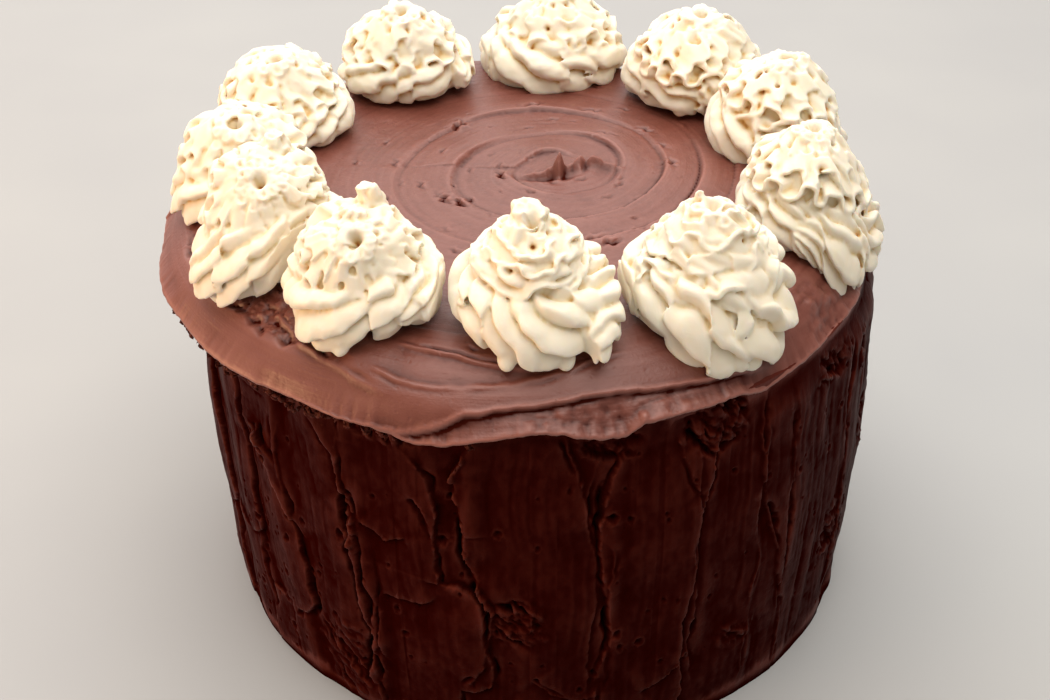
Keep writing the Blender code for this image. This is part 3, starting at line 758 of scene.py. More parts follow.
def shoulder_lines(angle, radius, relief_grid):
    """Adds the lines where one pass of the knife over the shoulder ends and the next one starts."""
    patch = Relief(angle * SHOULDER_ARC, radius)
    for number, line in enumerate(SHOULDER_LINES):
        burr, crevice, side, step, points = line
        flat = [(math.radians(degrees) * SHOULDER_ARC, from_centre * MM) for degrees, from_centre in points]
        here = patch.window((flat[0][0] - 6 * MM, 70 * MM), (flat[-1][0] + 6 * MM, 98 * MM))
        if here is None:
            continue
        x, y = patch.across[here], patch.up[here]
        y = y + 0.4 * MM * rough_mm(x, y, 7, 60 + number, 3)
        distance, sign, along = line_distance(flat, x, y)
        fade = smoothstep(0, 0.1, along) * smoothstep(1, 0.85, along)
        signed = distance * sign * side
        broken = np.clip(0.7 + 0.6 * lumps(x / (4 * MM), 0, 65 + number), 0, 1.3)
        ridge = burr * MM * broken * bell(signed, 0.5 * MM)
        cut = crevice * MM * broken * bell(signed - 0.9 * MM, 0.5 * MM)
        shelf = -step * MM * np.tanh(distance * sign / STEP_WIDTH) * np.exp(-distance / STEP_SPREAD)
        relief_grid[here] += fade * (ridge - cut + shelf)


def slab_rings():
    """Radius and height of the slab's rings, from the edge of the flat top to the middle of the underside."""
    shoulder = np.linspace(SHOULDER_RADIUS - 3 * MM, SLAB_RADIUS, 64)
    rings = [(float(radius), float(shoulder_height(radius))) for radius in shoulder]
    rings += [(SLAB_RADIUS - inward * MM, LIP_HEIGHT - down * MM) for inward, down in LIP_SECTION]
    return np.array(rings)


def disc_points(rings, cell):
    """Points over a disc in square-numbered rings, and the numbers of its rim's points in turn."""
    steps = np.arange(-rings, rings + 1)
    a, b = np.meshgrid(steps, steps, indexing="ij")
    reach, steep = np.maximum(np.abs(a), np.abs(b)), np.abs(a) > np.abs(b)
    with np.errstate(divide="ignore", invalid="ignore"):
        turn = np.where(steep, math.pi / 4 * b / a, math.pi / 2 - math.pi / 4 * a / b)
    turn = np.where(reach == 0, 0, turn)
    flip = np.where(steep, np.sign(a), np.sign(b))
    x, y = flip * reach * cell * np.cos(turn), flip * reach * cell * np.sin(turn)
    size = 2 * rings + 1
    number = np.arange(size * size).reshape(size, size)
    corners = [number[:-1, :-1], number[1:, :-1], number[1:, 1:], number[:-1, 1:]]
    rim = np.concatenate([number[-1, :-1], number[::-1, -1][:-1], number[0, ::-1][:-1], number[:, 0][:-1]])
    return np.stack([x.ravel(), y.ravel()], -1), np.stack(corners, -1).reshape(-1, 4), rim


def along_line(degrees, line):
    """The height in metres of a line whose points are degrees and mm."""
    angles, heights = np.array(line).T
    return np.interp(degrees, angles, heights * MM)


def fold_marks(turn, z):
    """Each point's share in the front fold, and how far the lip above it stands out or it is cut back."""
    degrees = np.degrees(turn)
    in_fold = plateau(degrees, -112, -106, -56, -50)
    lip = along_line(degrees, UPPER_LIP) + 0.35 * MM * rough(turn * 14, 0, 61, 3)
    below = smoothstep(lip + 0.25 * MM, lip - 0.35 * MM, z)
    ragged = 0.5 * MM * rough(turn * 5, z / (2.4 * MM), 62, 3)
    ragged = ragged + 0.2 * MM * rough(turn * 8, z / (0.8 * MM), 66, 2)
    cut = below * (1.4 * MM + ragged) * smoothstep(LIP_HEIGHT - 1 * MM, LIP_HEIGHT + 3 * MM, z)
    return in_fold, in_fold * (0.5 * MM * bell(z - lip - 0.3 * MM, 0.45 * MM) - cut)


def skirt_points(angle):
    """The slab's points outside its flat top: down the shoulder, over the lip and in under it."""
    rings = slab_rings()
    radius, turn = np.meshgrid(rings[1:, 0], angle, indexing="ij")
    z = np.repeat(rings[1:, 1][:, None], len(angle), 1)
    slope = np.gradient(rings, axis=0)[1:]
    slope = slope / np.hypot(*slope.T)[:, None]
    x, y = SLAB_CENTRE_X + radius * np.cos(turn), radius * np.sin(turn)
    marks = shoulder_relief(turn, radius)
    shoulder_lines(turn, radius, marks)
    raised = top_relief(x, y) * smoothstep(95 * MM, 85 * MM, radius) + marks
    raised = raised * smoothstep(LIP_HEIGHT - 0.9 * MM, LIP_HEIGHT + 0.1 * MM, z)
    in_fold, fold = fold_marks(turn, z)
    raised = raised + fold
    grown = radius - raised * slope[:, 1][:, None] + lip_shift(turn, radius)
    edge = along_line(np.degrees(turn), FOLD_EDGE) + 0.7 * MM * rough(turn * 16, 0, 63, 4) * in_fold
    edge = edge + 0.25 * MM * rough(turn * 60, 0, 64, 3)
    z = z + raised * slope[:, 0][:, None] + smoothstep(LIP_HEIGHT + 6 * MM, LIP_HEIGHT, z) * edge
    x, y = SLAB_CENTRE_X + grown * np.cos(turn), grown * np.sin(turn)
    return np.stack([x, y, z], -1).reshape(-1, 3)


def top_frosting():
    """The slab of frosting over the top, from its spiral to the underside of its lip."""
    flat, quads, rim = disc_points(TOP_RINGS, (SHOULDER_RADIUS - 3 * MM) / TOP_RINGS)
    angle = np.arctan2(*flat[rim].T[::-1])
    order = np.argsort(angle)
    angle, rim = angle[order], rim[order]
    x, y = flat[:, 0] + SLAB_CENTRE_X, flat[:, 1]
    marks = shoulder_relief(np.arctan2(flat[:, 1], flat[:, 0]), np.hypot(*flat.T))
    top, outer = np.stack([x, y, SLAB_TOP + top_relief(x, y) + marks], -1), skirt_points(angle)
    numbers = len(top) + np.arange(len(outer)).reshape(-1, len(rim))
    numbers = np.vstack([rim[None, :], numbers])
    beside = np.roll(numbers, -1, axis=1)
    skirt = np.stack([numbers[:-1], numbers[1:], beside[1:], beside[:-1]], -1).reshape(-1, 4)
    under = np.stack([numbers[-1], np.full(len(rim), len(top) + len(outer)), beside[-1]], -1)
    points = np.vstack([top, outer, [[SLAB_CENTRE_X, 0, LIP_HEIGHT - 1.2 * MM]]])
    mesh = thinned(mesh_of("top_frosting", points, np.vstack([quads, skirt]), under), FROSTING_TRIANGLES)
    # The knife's way is along the spiral on the flat top, and round the slab on its shoulder
    x, y, z = point_array(mesh).T
    turns, angle, distance = spiral_share(x, y)
    turn, radius = np.arctan2(y, x - SLAB_CENTRE_X), np.hypot(x - SLAB_CENTRE_X, y)
    outer = smoothstep(70 * MM, 80 * MM, radius)
    along = angle * distance * (1 - outer) + turn * radius * outer
    mark_knife_way(mesh, along, turns * SPIRAL_PITCH * (1 - outer) + (radius - z) * outer)
    mark_creases(mesh, 0.5 * MM)
    return mesh


def node(tree, kind, inputs=(), **settings):
    """Adds a node with its settings. An input is a value, or a node or socket to link from."""
    made = tree.nodes.new(kind)
    for name, value in settings.items():
        setattr(made, name, value)
    pairs = inputs.items() if isinstance(inputs, dict) else enumerate(inputs)
    for key, value in pairs:
        if value is None:
            continue
        if isinstance(value, bpy.types.Node):
            value = next(output for output in value.outputs if output.enabled)
        if isinstance(value, bpy.types.NodeSocket):
            tree.links.new(value, made.inputs[key])
        else:
            made.inputs[key].default_value = value
    return made


def between(low, high):
    """The range to turn something into, as a Map Range's To sockets."""
    return {3: low, 4: high}


def fill_curve(curve, pairs):
    """Puts a float curve's points at the given places; returns the curve's node."""
    mapping = curve.mapping
    mapping.use_clip = False
    points = mapping.curves[0].points
    for place, value in pairs[1:-1]:
        points.new(place, value)
    points[0].location, points[-1].location = pairs[0], pairs[-1]
    mapping.update()
    return curve


def stepped_line(tree):
    """A line of many points to lay along a path, and each point's share of the way."""
    line = node(tree, "GeometryNodeCurvePrimitiveLine", {"End": (0, 0, 1)})
    path = node(tree, "GeometryNodeResampleCurve", {"Curve": line, "Count": PATH_STEPS})
    return path, node(tree, "GeometryNodeSplineParameter").outputs["Factor"]


def torn_offset(tree, seed, scale, detail, amount):
    """Offsets that tear a surface: noise with scale lumps to a metre, moving it up to half the amount."""
    noise = {"Vector": node(tree, SPOT), "W": seed, "Scale": scale, "Detail": detail}
    noise = node(tree, NOISE, noise, **SEEDED).outputs["Color"]
    torn = node(tree, VECTOR, (noise, (0.5, 0.5, 0.5)), operation="SUBTRACT")
    return node(tree, VECTOR, {0: torn, "Scale": amount}, operation="SCALE")


def wound_path(tree, sizes):
    """A curve that winds inwards and upwards through the rope's stations, and its size on the way."""
    path, share = stepped_line(tree)
    first, last = ROPE_STATIONS[0][0], ROPE_STATIONS[-1][0]

    def follow(column):
        pairs = [((station[0] - first) / (last - first), station[column]) for station in ROPE_STATIONS]
        return fill_curve(node(tree, CURVE, {"Value": share}), pairs)

    start = node(tree, MATH, (sizes["Tail Angle"], math.tau * first), operation="ADD")
    angle = node(tree, MATH, (share, math.tau * (last - first), start), operation="MULTIPLY_ADD")
    uneven = node(tree, NOISE, {"Vector": angle, "W": sizes["Seed"], "Scale": 0.9, "Detail": 1.0}, **SEEDED)
    swing = node(tree, RANGE, {"Value": uneven, **LIKELY, **between(0.87, 1.13)})
    reach = node(tree, MATH, (follow(1), swing), operation="MULTIPLY")
    reach = node(tree, MATH, (reach, sizes["Width"]), operation="MULTIPLY")
    rise = node(tree, MATH, (follow(3), sizes["Height"]), operation="MULTIPLY")
    spoke = node(tree, COMBINE, {"X": reach, "Z": rise})
    place = node(tree, TURN, {"Vector": spoke, "Angle": angle}, rotation_type="Z_AXIS")
    path = node(tree, MOVE, {"Geometry": path, "Position": place})
    path = node(tree, STORE, {"Geometry": path, "Name": "along", "Value": share})
    return path, node(tree, MATH, (follow(2), swing), operation="MULTIPLY")


def star_grooves(tree, rope, sizes):
    """Grooves the round rope as the star nozzle does: teeth that lean over, deep here and shallow there."""
    spot = node(tree, SPOT)
    centre = node(tree, KEPT, {"Name": "centre"}, data_type="FLOAT_VECTOR")
    around, along = (node(tree, KEPT, {"Name": name}, data_type="FLOAT") for name in ("around", "along"))
    uneven = {"Vector": spot, "W": sizes["Seed"], "Detail": 1.0}
    wander = node(tree, NOISE, {**uneven, "Scale": 75.0}, **SEEDED)
    wander = node(tree, MATH, (wander, GROOVE_WANDER), operation="MULTIPLY")
    turns = ROPE_STATIONS[-1][0] - ROPE_STATIONS[0][0]
    twist = node(tree, MATH, (sizes["Twist"], turns), operation="MULTIPLY")
    turned = node(tree, MATH, (along, twist, wander), operation="MULTIPLY_ADD")
    turned = node(tree, MATH, (turned, around), operation="ADD")
    teeth = node(tree, MATH, (turned, sizes["Teeth"]), operation="MULTIPLY")
    across = node(tree, MATH, (teeth,), operation="FRACT")
    tooth = fill_curve(node(tree, CURVE, {"Value": across}), TOOTH_STATIONS)
    uneven = node(tree, NOISE, {**uneven, "Scale": 85.0}, **SEEDED)
    depth = node(tree, RANGE, {"Value": uneven, 1: 0.36, 2: 0.62, **between(0.55, 1.15)})
    depth = node(tree, MATH, (depth, sizes["Groove"]), operation="MULTIPLY")
    low = node(tree, MATH, (1.0, tooth), operation="SUBTRACT")
    low = node(tree, MATH, (low, depth), operation="MULTIPLY")
    share = node(tree, MATH, (1.0, low), operation="SUBTRACT")
    spoke = node(tree, VECTOR, (spot, centre), operation="SUBTRACT")
    spoke = node(tree, VECTOR, {0: spoke, "Scale": share}, operation="SCALE")
    # Stiff cream tears a little at the nozzle's teeth
    amount = tooth
    for factor in (sizes["Lumps"], ROPE_RAGGED):
        amount = node(tree, MATH, (amount, factor), operation="MULTIPLY")
    torn = torn_offset(tree, sizes["Seed"], 380.0, 2.0, amount)
    place = node(tree, VECTOR, (centre, spoke), operation="ADD")
    place = node(tree, VECTOR, (place, torn), operation="ADD")
    return node(tree, MOVE, {"Geometry": rope, "Position": place})


def piped_rope(tree, sizes):
    """One rope of cream, wound from the rosette's foot to its crown."""
    path, size = wound_path(tree, sizes)
    spot = node(tree, SPOT)
    path = node(tree, STORE, {"Geometry": path, "Name": "centre", "Value": spot}, data_type="FLOAT_VECTOR")
    circle = node(tree, "GeometryNodeCurvePrimitiveCircle", {"Resolution": ROPE_SIDES, "Radius": 1.0})
    parts = node(tree, "ShaderNodeSeparateXYZ", (node(tree, SPOT),)).outputs
    angle = node(tree, MATH, (parts["Y"], parts["X"]), operation="ARCTAN2")
    around = node(tree, MATH, (angle, 1 / math.tau), operation="MULTIPLY")
    circle = node(tree, STORE, {"Geometry": circle, "Name": "around", "Value": around})
    scale = node(tree, MATH, (size, sizes["Width"]), operation="MULTIPLY")
    rope = node(tree, SWEEP, {"Curve": path, "Profile Curve": circle, "Scale": scale, "Fill Caps": True})
    return star_grooves(tree, rope, sizes)


def crown_radius(tree, sizes):
    return node(tree, MATH, (sizes["Width"], sizes["Crown"]), operation="MULTIPLY")


def ruffled_way(tree, sizes, share):
    """The crown path's angles down from the middle and round it, waving in loops that double back."""
    spin = math.tau * CROWN_TURNS
    turn = node(tree, MATH, (share, spin, sizes["Tail Angle"]), operation="MULTIPLY_ADD")
    fall = fill_curve(node(tree, CURVE, {"Value": share}), CROWN_FALL)
    # Equal lengths of the path carry equal numbers of loops, so they crowd together towards the middle
    gone = fill_curve(node(tree, CURVE, {"Value": share}), CROWN_RUN)
    wander = node(tree, NOISE, {"Vector": gone, "W": sizes["Seed"], "Scale": 21.0, "Detail": 2.0}, **SEEDED)
    loops = node(tree, MATH, (gone, sizes["Loops"]), operation="MULTIPLY")
    late = node(tree, MATH, (wander, LOOP_WANDER, loops), operation="MULTIPLY_ADD")
    phase = node(tree, MATH, (late, math.tau), operation="MULTIPLY")
    twice = node(tree, MATH, (phase, 2.0), operation="MULTIPLY")
    uneven = node(tree, RANGE, {"Value": wander, **LIKELY, **between(1.5, 0.35)})
    depth = node(tree, MATH, (sizes["Ruffle"], uneven), operation="MULTIPLY")
    sines = [node(tree, MATH, (angle,), operation="SINE") for angle in (phase, twice)]
    wave, back = (node(tree, MATH, (sine, depth), operation="MULTIPLY") for sine in sines)
    fall = node(tree, MATH, (wave, fall), operation="ADD")
    away = node(tree, MATH, (fall,), operation="SINE")
    away = node(tree, MATH, (away, 0.16), operation="ADD")
    back = node(tree, MATH, (back, away), operation="DIVIDE")
    turn = node(tree, MATH, (back, -LOOP_WIDTH, turn), operation="MULTIPLY_ADD")
    return fall, turn, wander


def ruffled_path(tree, sizes):
    """Winds over a ball from the crown's edge to its middle, and keeps what the ribbon on it needs."""
    path, share = stepped_line(tree)
    fall, turn, wander = ruffled_way(tree, sizes, share)
    sine, cosine = (node(tree, MATH, (fall,), operation=kind) for kind in ("SINE", "COSINE"))
    out = node(tree, COMBINE, {"X": sine, "Z": cosine})
    out = node(tree, TURN, {"Vector": out, "Angle": turn}, rotation_type="Z_AXIS")
    swell = node(tree, NOISE, {"Vector": out, "W": sizes["Seed"], "Scale": 1.7, "Detail": 1.5}, **SEEDED)
    swell = node(tree, RANGE, {"Value": swell, **LIKELY, **between(0.9, 1.1)})
    radius = node(tree, MATH, (crown_radius(tree, sizes), swell), operation="MULTIPLY")
    place = node(tree, VECTOR, {0: out, "Scale": radius}, operation="SCALE")
    tall = node(tree, RANGE, {"Value": wander, **LIKELY, **between(0.75, 1.3)})
    # The petals lean away from the crown's middle and so lap over each other
    along = node(tree, MATH, (cosine, -PETAL_LEAN), operation="MULTIPLY")
    along = node(tree, MATH, (sine, along), operation="ADD")
    above = node(tree, MATH, (sine, PETAL_LEAN, cosine), operation="MULTIPLY_ADD")
    leant = node(tree, COMBINE, {"X": along, "Z": above})
    leant = node(tree, TURN, {"Vector": leant, "Angle": turn}, rotation_type="Z_AXIS")
    leant = node(tree, VECTOR, (leant,), operation="NORMALIZE")
    path = node(tree, MOVE, {"Geometry": path, "Position": place})
    path = node(tree, STORE, {"Geometry": path, "Name": "tall", "Value": tall})
    fields = {"out": leant, "centre": node(tree, SPOT), "way": node(tree, "GeometryNodeInputTangent")}
    for name, field in fields.items():
        path = node(tree, STORE, {"Geometry": path, "Name": name, "Value": field}, data_type="FLOAT_VECTOR")
    return path


def ruffled_crown(tree, sizes):
    """A thin ribbon standing on edge all along its ruffled path over a ball: the petals of the crown."""
    outline = node(tree, "GeometryNodeCurvePrimitiveQuadrilateral", {"Width": 1.0, "Height": 1.0})
    outline = node(tree, "GeometryNodeResampleCurve", {"Curve": outline, "Count": RIBBON_SIDES})
    parts = node(tree, "ShaderNodeSeparateXYZ", (node(tree, SPOT),))
    for name in ("X", "Y"):
        kept = {"Name": "profile_" + name, "Value": parts.outputs[name]}
        outline = node(tree, STORE, {"Geometry": outline, **kept})
    path = ruffled_path(tree, sizes)
    ribbon = node(tree, SWEEP, {"Curve": path, "Profile Curve": outline, "Scale": MM, "Fill Caps": True})
    names = ("tall", "profile_X", "profile_Y")
    tall, aside, above = (node(tree, KEPT, {"Name": name}, data_type="FLOAT") for name in names)
    names = ("out", "way", "centre")
    out, way, centre = (node(tree, KEPT, {"Name": name}, data_type="FLOAT_VECTOR") for name in names)
    height = sizes["Width"]
    for factor in (RIBBON_HEIGHT, sizes["Ribbon"], tall):
        height = node(tree, MATH, (height, factor), operation="MULTIPLY")
    above = node(tree, MATH, (above, -0.1), operation="ADD")
    rise = node(tree, MATH, (above, height), operation="MULTIPLY")
    thick = node(tree, MATH, (sizes["Width"], RIBBON_THICKNESS), operation="MULTIPLY")
    aside = node(tree, MATH, (aside, thick), operation="MULTIPLY")
    across = node(tree, VECTOR, (out, way), operation="CROSS_PRODUCT")
    across = node(tree, VECTOR, (across,), operation="NORMALIZE")
    place = centre
    for direction, distance in ((out, rise), (across, aside)):
        step = node(tree, VECTOR, {0: direction, "Scale": distance}, operation="SCALE")
        place = node(tree, VECTOR, (place, step), operation="ADD")
    petals = node(tree, MOVE, {"Geometry": ribbon, "Position": place})
    inside = node(tree, MATH, (crown_radius(tree, sizes), CROWN_BALL), operation="MULTIPLY")
    ball = node(tree, "GeometryNodeMeshUVSphere", {"Segments": 32, "Rings": 24, "Radius": inside})
    crown = node(tree, "GeometryNodeJoinGeometry")
    for part in (petals, ball):
        tree.links.new(part.outputs[0], crown.inputs[0])
    leant = {"Vector": node(tree, SPOT), "Angle": sizes["Crown Lean"]}
    leant = node(tree, TURN, leant, rotation_type="X_AXIS")
    up = node(tree, MATH, (sizes["Height"], sizes["Crown Rise"]), operation="MULTIPLY")
    up = node(tree, COMBINE, {"Z": up})
    leant = node(tree, VECTOR, (leant, up), operation="ADD")
    return node(tree, MOVE, {"Geometry": crown, "Position": leant})


def filled_middle(tree, sizes):
    """The cone of cream inside the rope."""
    shares = (("Depth", "Height", 0.80), ("Radius Bottom", "Width", 0.33), ("Radius Top", "Width", 0.06))
    cone = {"Vertices": 24}
    for socket, size, share in shares:
        cone[socket] = node(tree, MATH, (sizes[size], share), operation="MULTIPLY")
    return node(tree, "GeometryNodeMeshCone", cone)


def drawn_tip(tree, sizes):
    """The tip left where the nozzle was pulled away: a ragged cone."""
    names = ("Tip Width", "Tip Aside", "Tip Behind")
    foot, aside, behind = (node(tree, MATH, (sizes[name], MM), operation="MULTIPLY") for name in names)
    peak = node(tree, MATH, (foot, 0.38), operation="MULTIPLY")
    tall = node(tree, MATH, (sizes["Height"], 0.45), operation="MULTIPLY")
    cone = {"Radius Top": peak, "Radius Bottom": foot, "Depth": tall}
    cone |= {"Vertices": 40, "Side Segments": 24, "Fill Segments": 6}
    cone = node(tree, "GeometryNodeMeshCone", cone)
    low = node(tree, MATH, (sizes["Height"], tall), operation="SUBTRACT")
    place = node(tree, COMBINE, {"X": aside, "Y": behind, "Z": low})
    torn = torn_offset(tree, sizes["Seed"], 330.0, 2.0, TIP_RAGGED)
    place = node(tree, VECTOR, (place, torn), operation="ADD")
    return node(tree, MOVE, {"Geometry": cone, "Offset": place})


def base_drops(tree, sizes):
    """Small blobs squeezed out round the foot."""
    seed = node(tree, "FunctionNodeFloatToInt", (sizes["Seed"],))
    turn = node(tree, RANDOM, {2: 0.0, 3: math.tau, "Seed": seed}).outputs[1]
    away = node(tree, MATH, (sizes["Width"], 0.42), operation="MULTIPLY")
    spoke = node(tree, COMBINE, {"X": away, "Z": 2.0 * MM})
    place = node(tree, TURN, {"Vector": spoke, "Angle": turn}, rotation_type="Z_AXIS")
    spots = node(tree, "GeometryNodePoints", {"Count": 3, "Position": place})
    blob = node(tree, "GeometryNodeMeshIcoSphere", {"Radius": 2.3 * MM, "Subdivisions": 3})
    index = node(tree, "GeometryNodeInputIndex")
    size = node(tree, RANDOM, {2: 0.7, 3: 1.2, "Seed": seed, "ID": index}).outputs[1]
    return node(tree, "GeometryNodeInstanceOnPoints", {"Points": spots, "Instance": blob, "Scale": size})


ROSETTE_INPUTS = (
    "Width", "Height", "Tail Angle", "Teeth", "Groove", "Twist", "Loops", "Ruffle", "Ribbon", "Crown",
    "Crown Rise", "Crown Lean", "Tip Width", "Tip Aside", "Tip Behind", "Lumps", "Seed",
)


def sized_tree(name, size_names):
    """A new Geometry Nodes tree with an input for each named size, and those inputs' sockets."""
    tree = bpy.data.node_groups.new(name, "GeometryNodeTree")
    for way in ("INPUT", "OUTPUT"):
        tree.interface.new_socket("Geometry", in_out=way, socket_type="NodeSocketGeometry")
    for size in size_names:
        tree.interface.new_socket(size, in_out="INPUT", socket_type="NodeSocketFloat")
    given = node(tree, "NodeGroupInput")
    return tree, {size: given.outputs[size] for size in size_names}


def coat(tree, geometry, coating):
    """Ends a tree: the geometry gets its material and goes out."""
    coated = node(tree, "GeometryNodeSetMaterial", {"Geometry": geometry, "Material": coating})
    node(tree, "NodeGroupOutput", (coated,))


def rosette_tree(cream):
    """The Geometry Nodes tree that pipes a rosette from its named sizes."""
    tree, sizes = sized_tree("piped_rosette", ROSETTE_INPUTS)
    joined = node(tree, "GeometryNodeJoinGeometry")
    for piece in (piped_rope, ruffled_crown, drawn_tip, filled_middle, base_drops):
        tree.links.new(piece(tree, sizes).outputs[0], joined.inputs[0])
    real = node(tree, "GeometryNodeRealizeInstances", {"Geometry": joined})
    above = node(tree, VECTOR, (node(tree, SPOT), (-1.0, -1.0, 0.0)), operation="MAXIMUM")
    coat(tree, node(tree, MOVE, {"Geometry": real, "Position": above}), cream)
    return tree


def rosette_centre(place):
    turn, distance = math.radians(place[0]), place[1] * MM
    return np.array([SLAB_CENTRE_X + distance * math.cos(turn), distance * math.sin(turn)])


def squeeze(distance, limit):
    """Presses what reaches past its limit back inside it, as one rosette gives way to the next."""
    start = SQUEEZE_START * limit
    room = limit - start
    return np.where(distance > start, start + room * (1 - np.exp((start - distance) / room)), distance)


def settle(points, number):
    """Sinks a rosette's foot onto the slab's shoulder and presses its sides against its neighbours."""
    place = ROSETTES[number][-1]
    centre, height = rosette_centre(place), place[3] * MM
    x, y, z = points.T
    z = np.maximum(z, 0)
    for step in (-1, 1):
        other = ROSETTES[(number + step) % len(ROSETTES)][-1]
        away = rosette_centre(other) - centre
        apart = math.hypot(*away)
        towards = away / apart
        reach = x * towards[0] + y * towards[1]
        push = squeeze(reach, apart * place[2] / (place[2] + other[2]) - 0.2 * MM) - reach
        x, y = x + push * towards[0], y + push * towards[1]
    x, y = x + centre[0], y + centre[1]
    radius = np.hypot(x - SLAB_CENTRE_X, y)
    radius = radius - lip_shift(np.arctan2(y, x - SLAB_CENTRE_X), radius)
    fall = shoulder_height(radius) - SLAB_TOP
    return np.stack([x, y, z + SLAB_TOP + fall * (1 - z / (1.1 * height)).clip(0)], -1)


def press_hole(points, mouth, inward, size, depth):
    """Presses a hole into the cream from its mouth inwards, as wide and deep as given."""
    offset = points - mouth
    deep = offset @ inward
    away = np.linalg.norm(offset - deep[:, None] * inward, axis=1)
    near = np.exp(-((away / size) ** 2)) * (np.abs(deep) < 5 * MM) * (points[:, 2] > 3 * MM)
    return points + depth * near[:, None] * inward


def crown_hole(points, place, crown, rise, lean):
    """Presses the deep hole in the crown's middle, where the nozzle was lifted off."""
    out = np.array([0, -math.sin(lean), math.cos(lean)])
    mouth = np.array([0, 0, rise * place[3] * MM]) + crown * place[2] * MM * out
    return press_hole(points, mouth, -out, *CROWN_HOLE)


def air_holes(points, place, seed):
    """Presses a few small deep holes into the cream, where air was trapped between its folds."""
    random = np.random.default_rng(300 + seed)
    width, height = place[2] * MM, place[3] * MM
    for _ in range(AIR_HOLES):
        turn, rise = random.uniform(0, math.tau), random.uniform(0.25, 0.9) * height
        reach = 0.48 * width * (1 - 0.75 * rise / height)
        mouth = np.array([reach * math.cos(turn), reach * math.sin(turn), rise])
        inward = np.array([-math.cos(turn), -math.sin(turn), -0.5]) / math.sqrt(1.25)
        size, depth = random.uniform(0.6, 1.2) * MM, random.uniform(1.2, 3.0) * MM
        points = press_hole(points, mouth, inward, size, depth)
    return points


def fit_to_solid(points, node_name):
    """Scales and moves the points so that they fill the solid's box, but keeps them sunk in the slab."""
    low, high = (np.array(corner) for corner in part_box(node_name))
    own_low, own_high = points.min(0), points.max(0)
    points = (points - own_low) / (own_high - own_low) * (high - low) + low
    points[:, 2] -= 0.8 * MM * smoothstep(SLAB_TOP + 6 * MM, SLAB_TOP, points[:, 2])
    return points


def grown_object(name, tree, values):
    """A loose object made by a Geometry Nodes tree; its inputs are set through their sockets' identifiers."""
    obj = loose_object(bpy.data.meshes.new(name))
    modifier = obj.modifiers.new("grow", "NODES")
    modifier.node_group = tree
    for item in tree.interface.items_tree:
        if item.item_type == "SOCKET" and item.in_out == "INPUT" and item.name in values:
            modifier[item.identifier] = float(values[item.name])
    return obj


def rosette(number, tree, cream):
    """Pipes one rosette, fuses its parts into one skin, presses its holes and settles it on the slab."""
    *made, place = ROSETTES[number]
    name = f"rosette_{number + 1:02d}"
    values = dict(zip(ROSETTE_INPUTS, (place[2] * MM, place[3] * MM, math.radians(place[4]), *made)))
    values["Crown Lean"] = math.radians(values["Crown Lean"])
    obj = grown_object(name, tree, values)
    fuse = obj.modifiers.new("fuse", "REMESH")
    fuse.mode = "VOXEL"
    fuse.voxel_size = NEAR_VOXEL if number in NEAR_ROSETTES else FAR_VOXEL
    mesh = evaluated_mesh(obj)
    mesh.name = name + "_cream"
    points = soften(point_array(mesh), edge_array(mesh), 2)
    points = crown_hole(points, place, values["Crown"], values["Crown Rise"], values["Crown Lean"])
    points = fit_to_solid(settle(air_holes(points, place, number), number), name)
    set_points(mesh, points)
    mark_creases(mesh, 0.55 * MM, 22)
    finished(mesh, cream, "buttercream", name)


def linear(colour):
    """An sRGB hex colour as linear red, green, blue and alpha."""
    values = [int(colour[i : i + 2], 16) / 255 for i in (0, 2, 4)]
    return (*(v / 12.92 if v <= 0.04045 else ((v + 0.055) / 1.055) ** 2.4 for v in values), 1.0)


def new_material(name):
    made = bpy.data.materials.new(name)
    made.use_nodes = True
    return made, made.node_tree, made.node_tree.nodes["Principled BSDF"]


def fill_ramp(ramp, *stops):
    """Puts a colour ramp's stops at the given places; returns the ramp's node."""
    elements = ramp.color_ramp.elements
    while len(elements) < len(stops):
        elements.new(0.5)
    for element, (place, colour) in zip(elements, stops):
        element.position = place
        element.color = linear(colour)
    return ramp


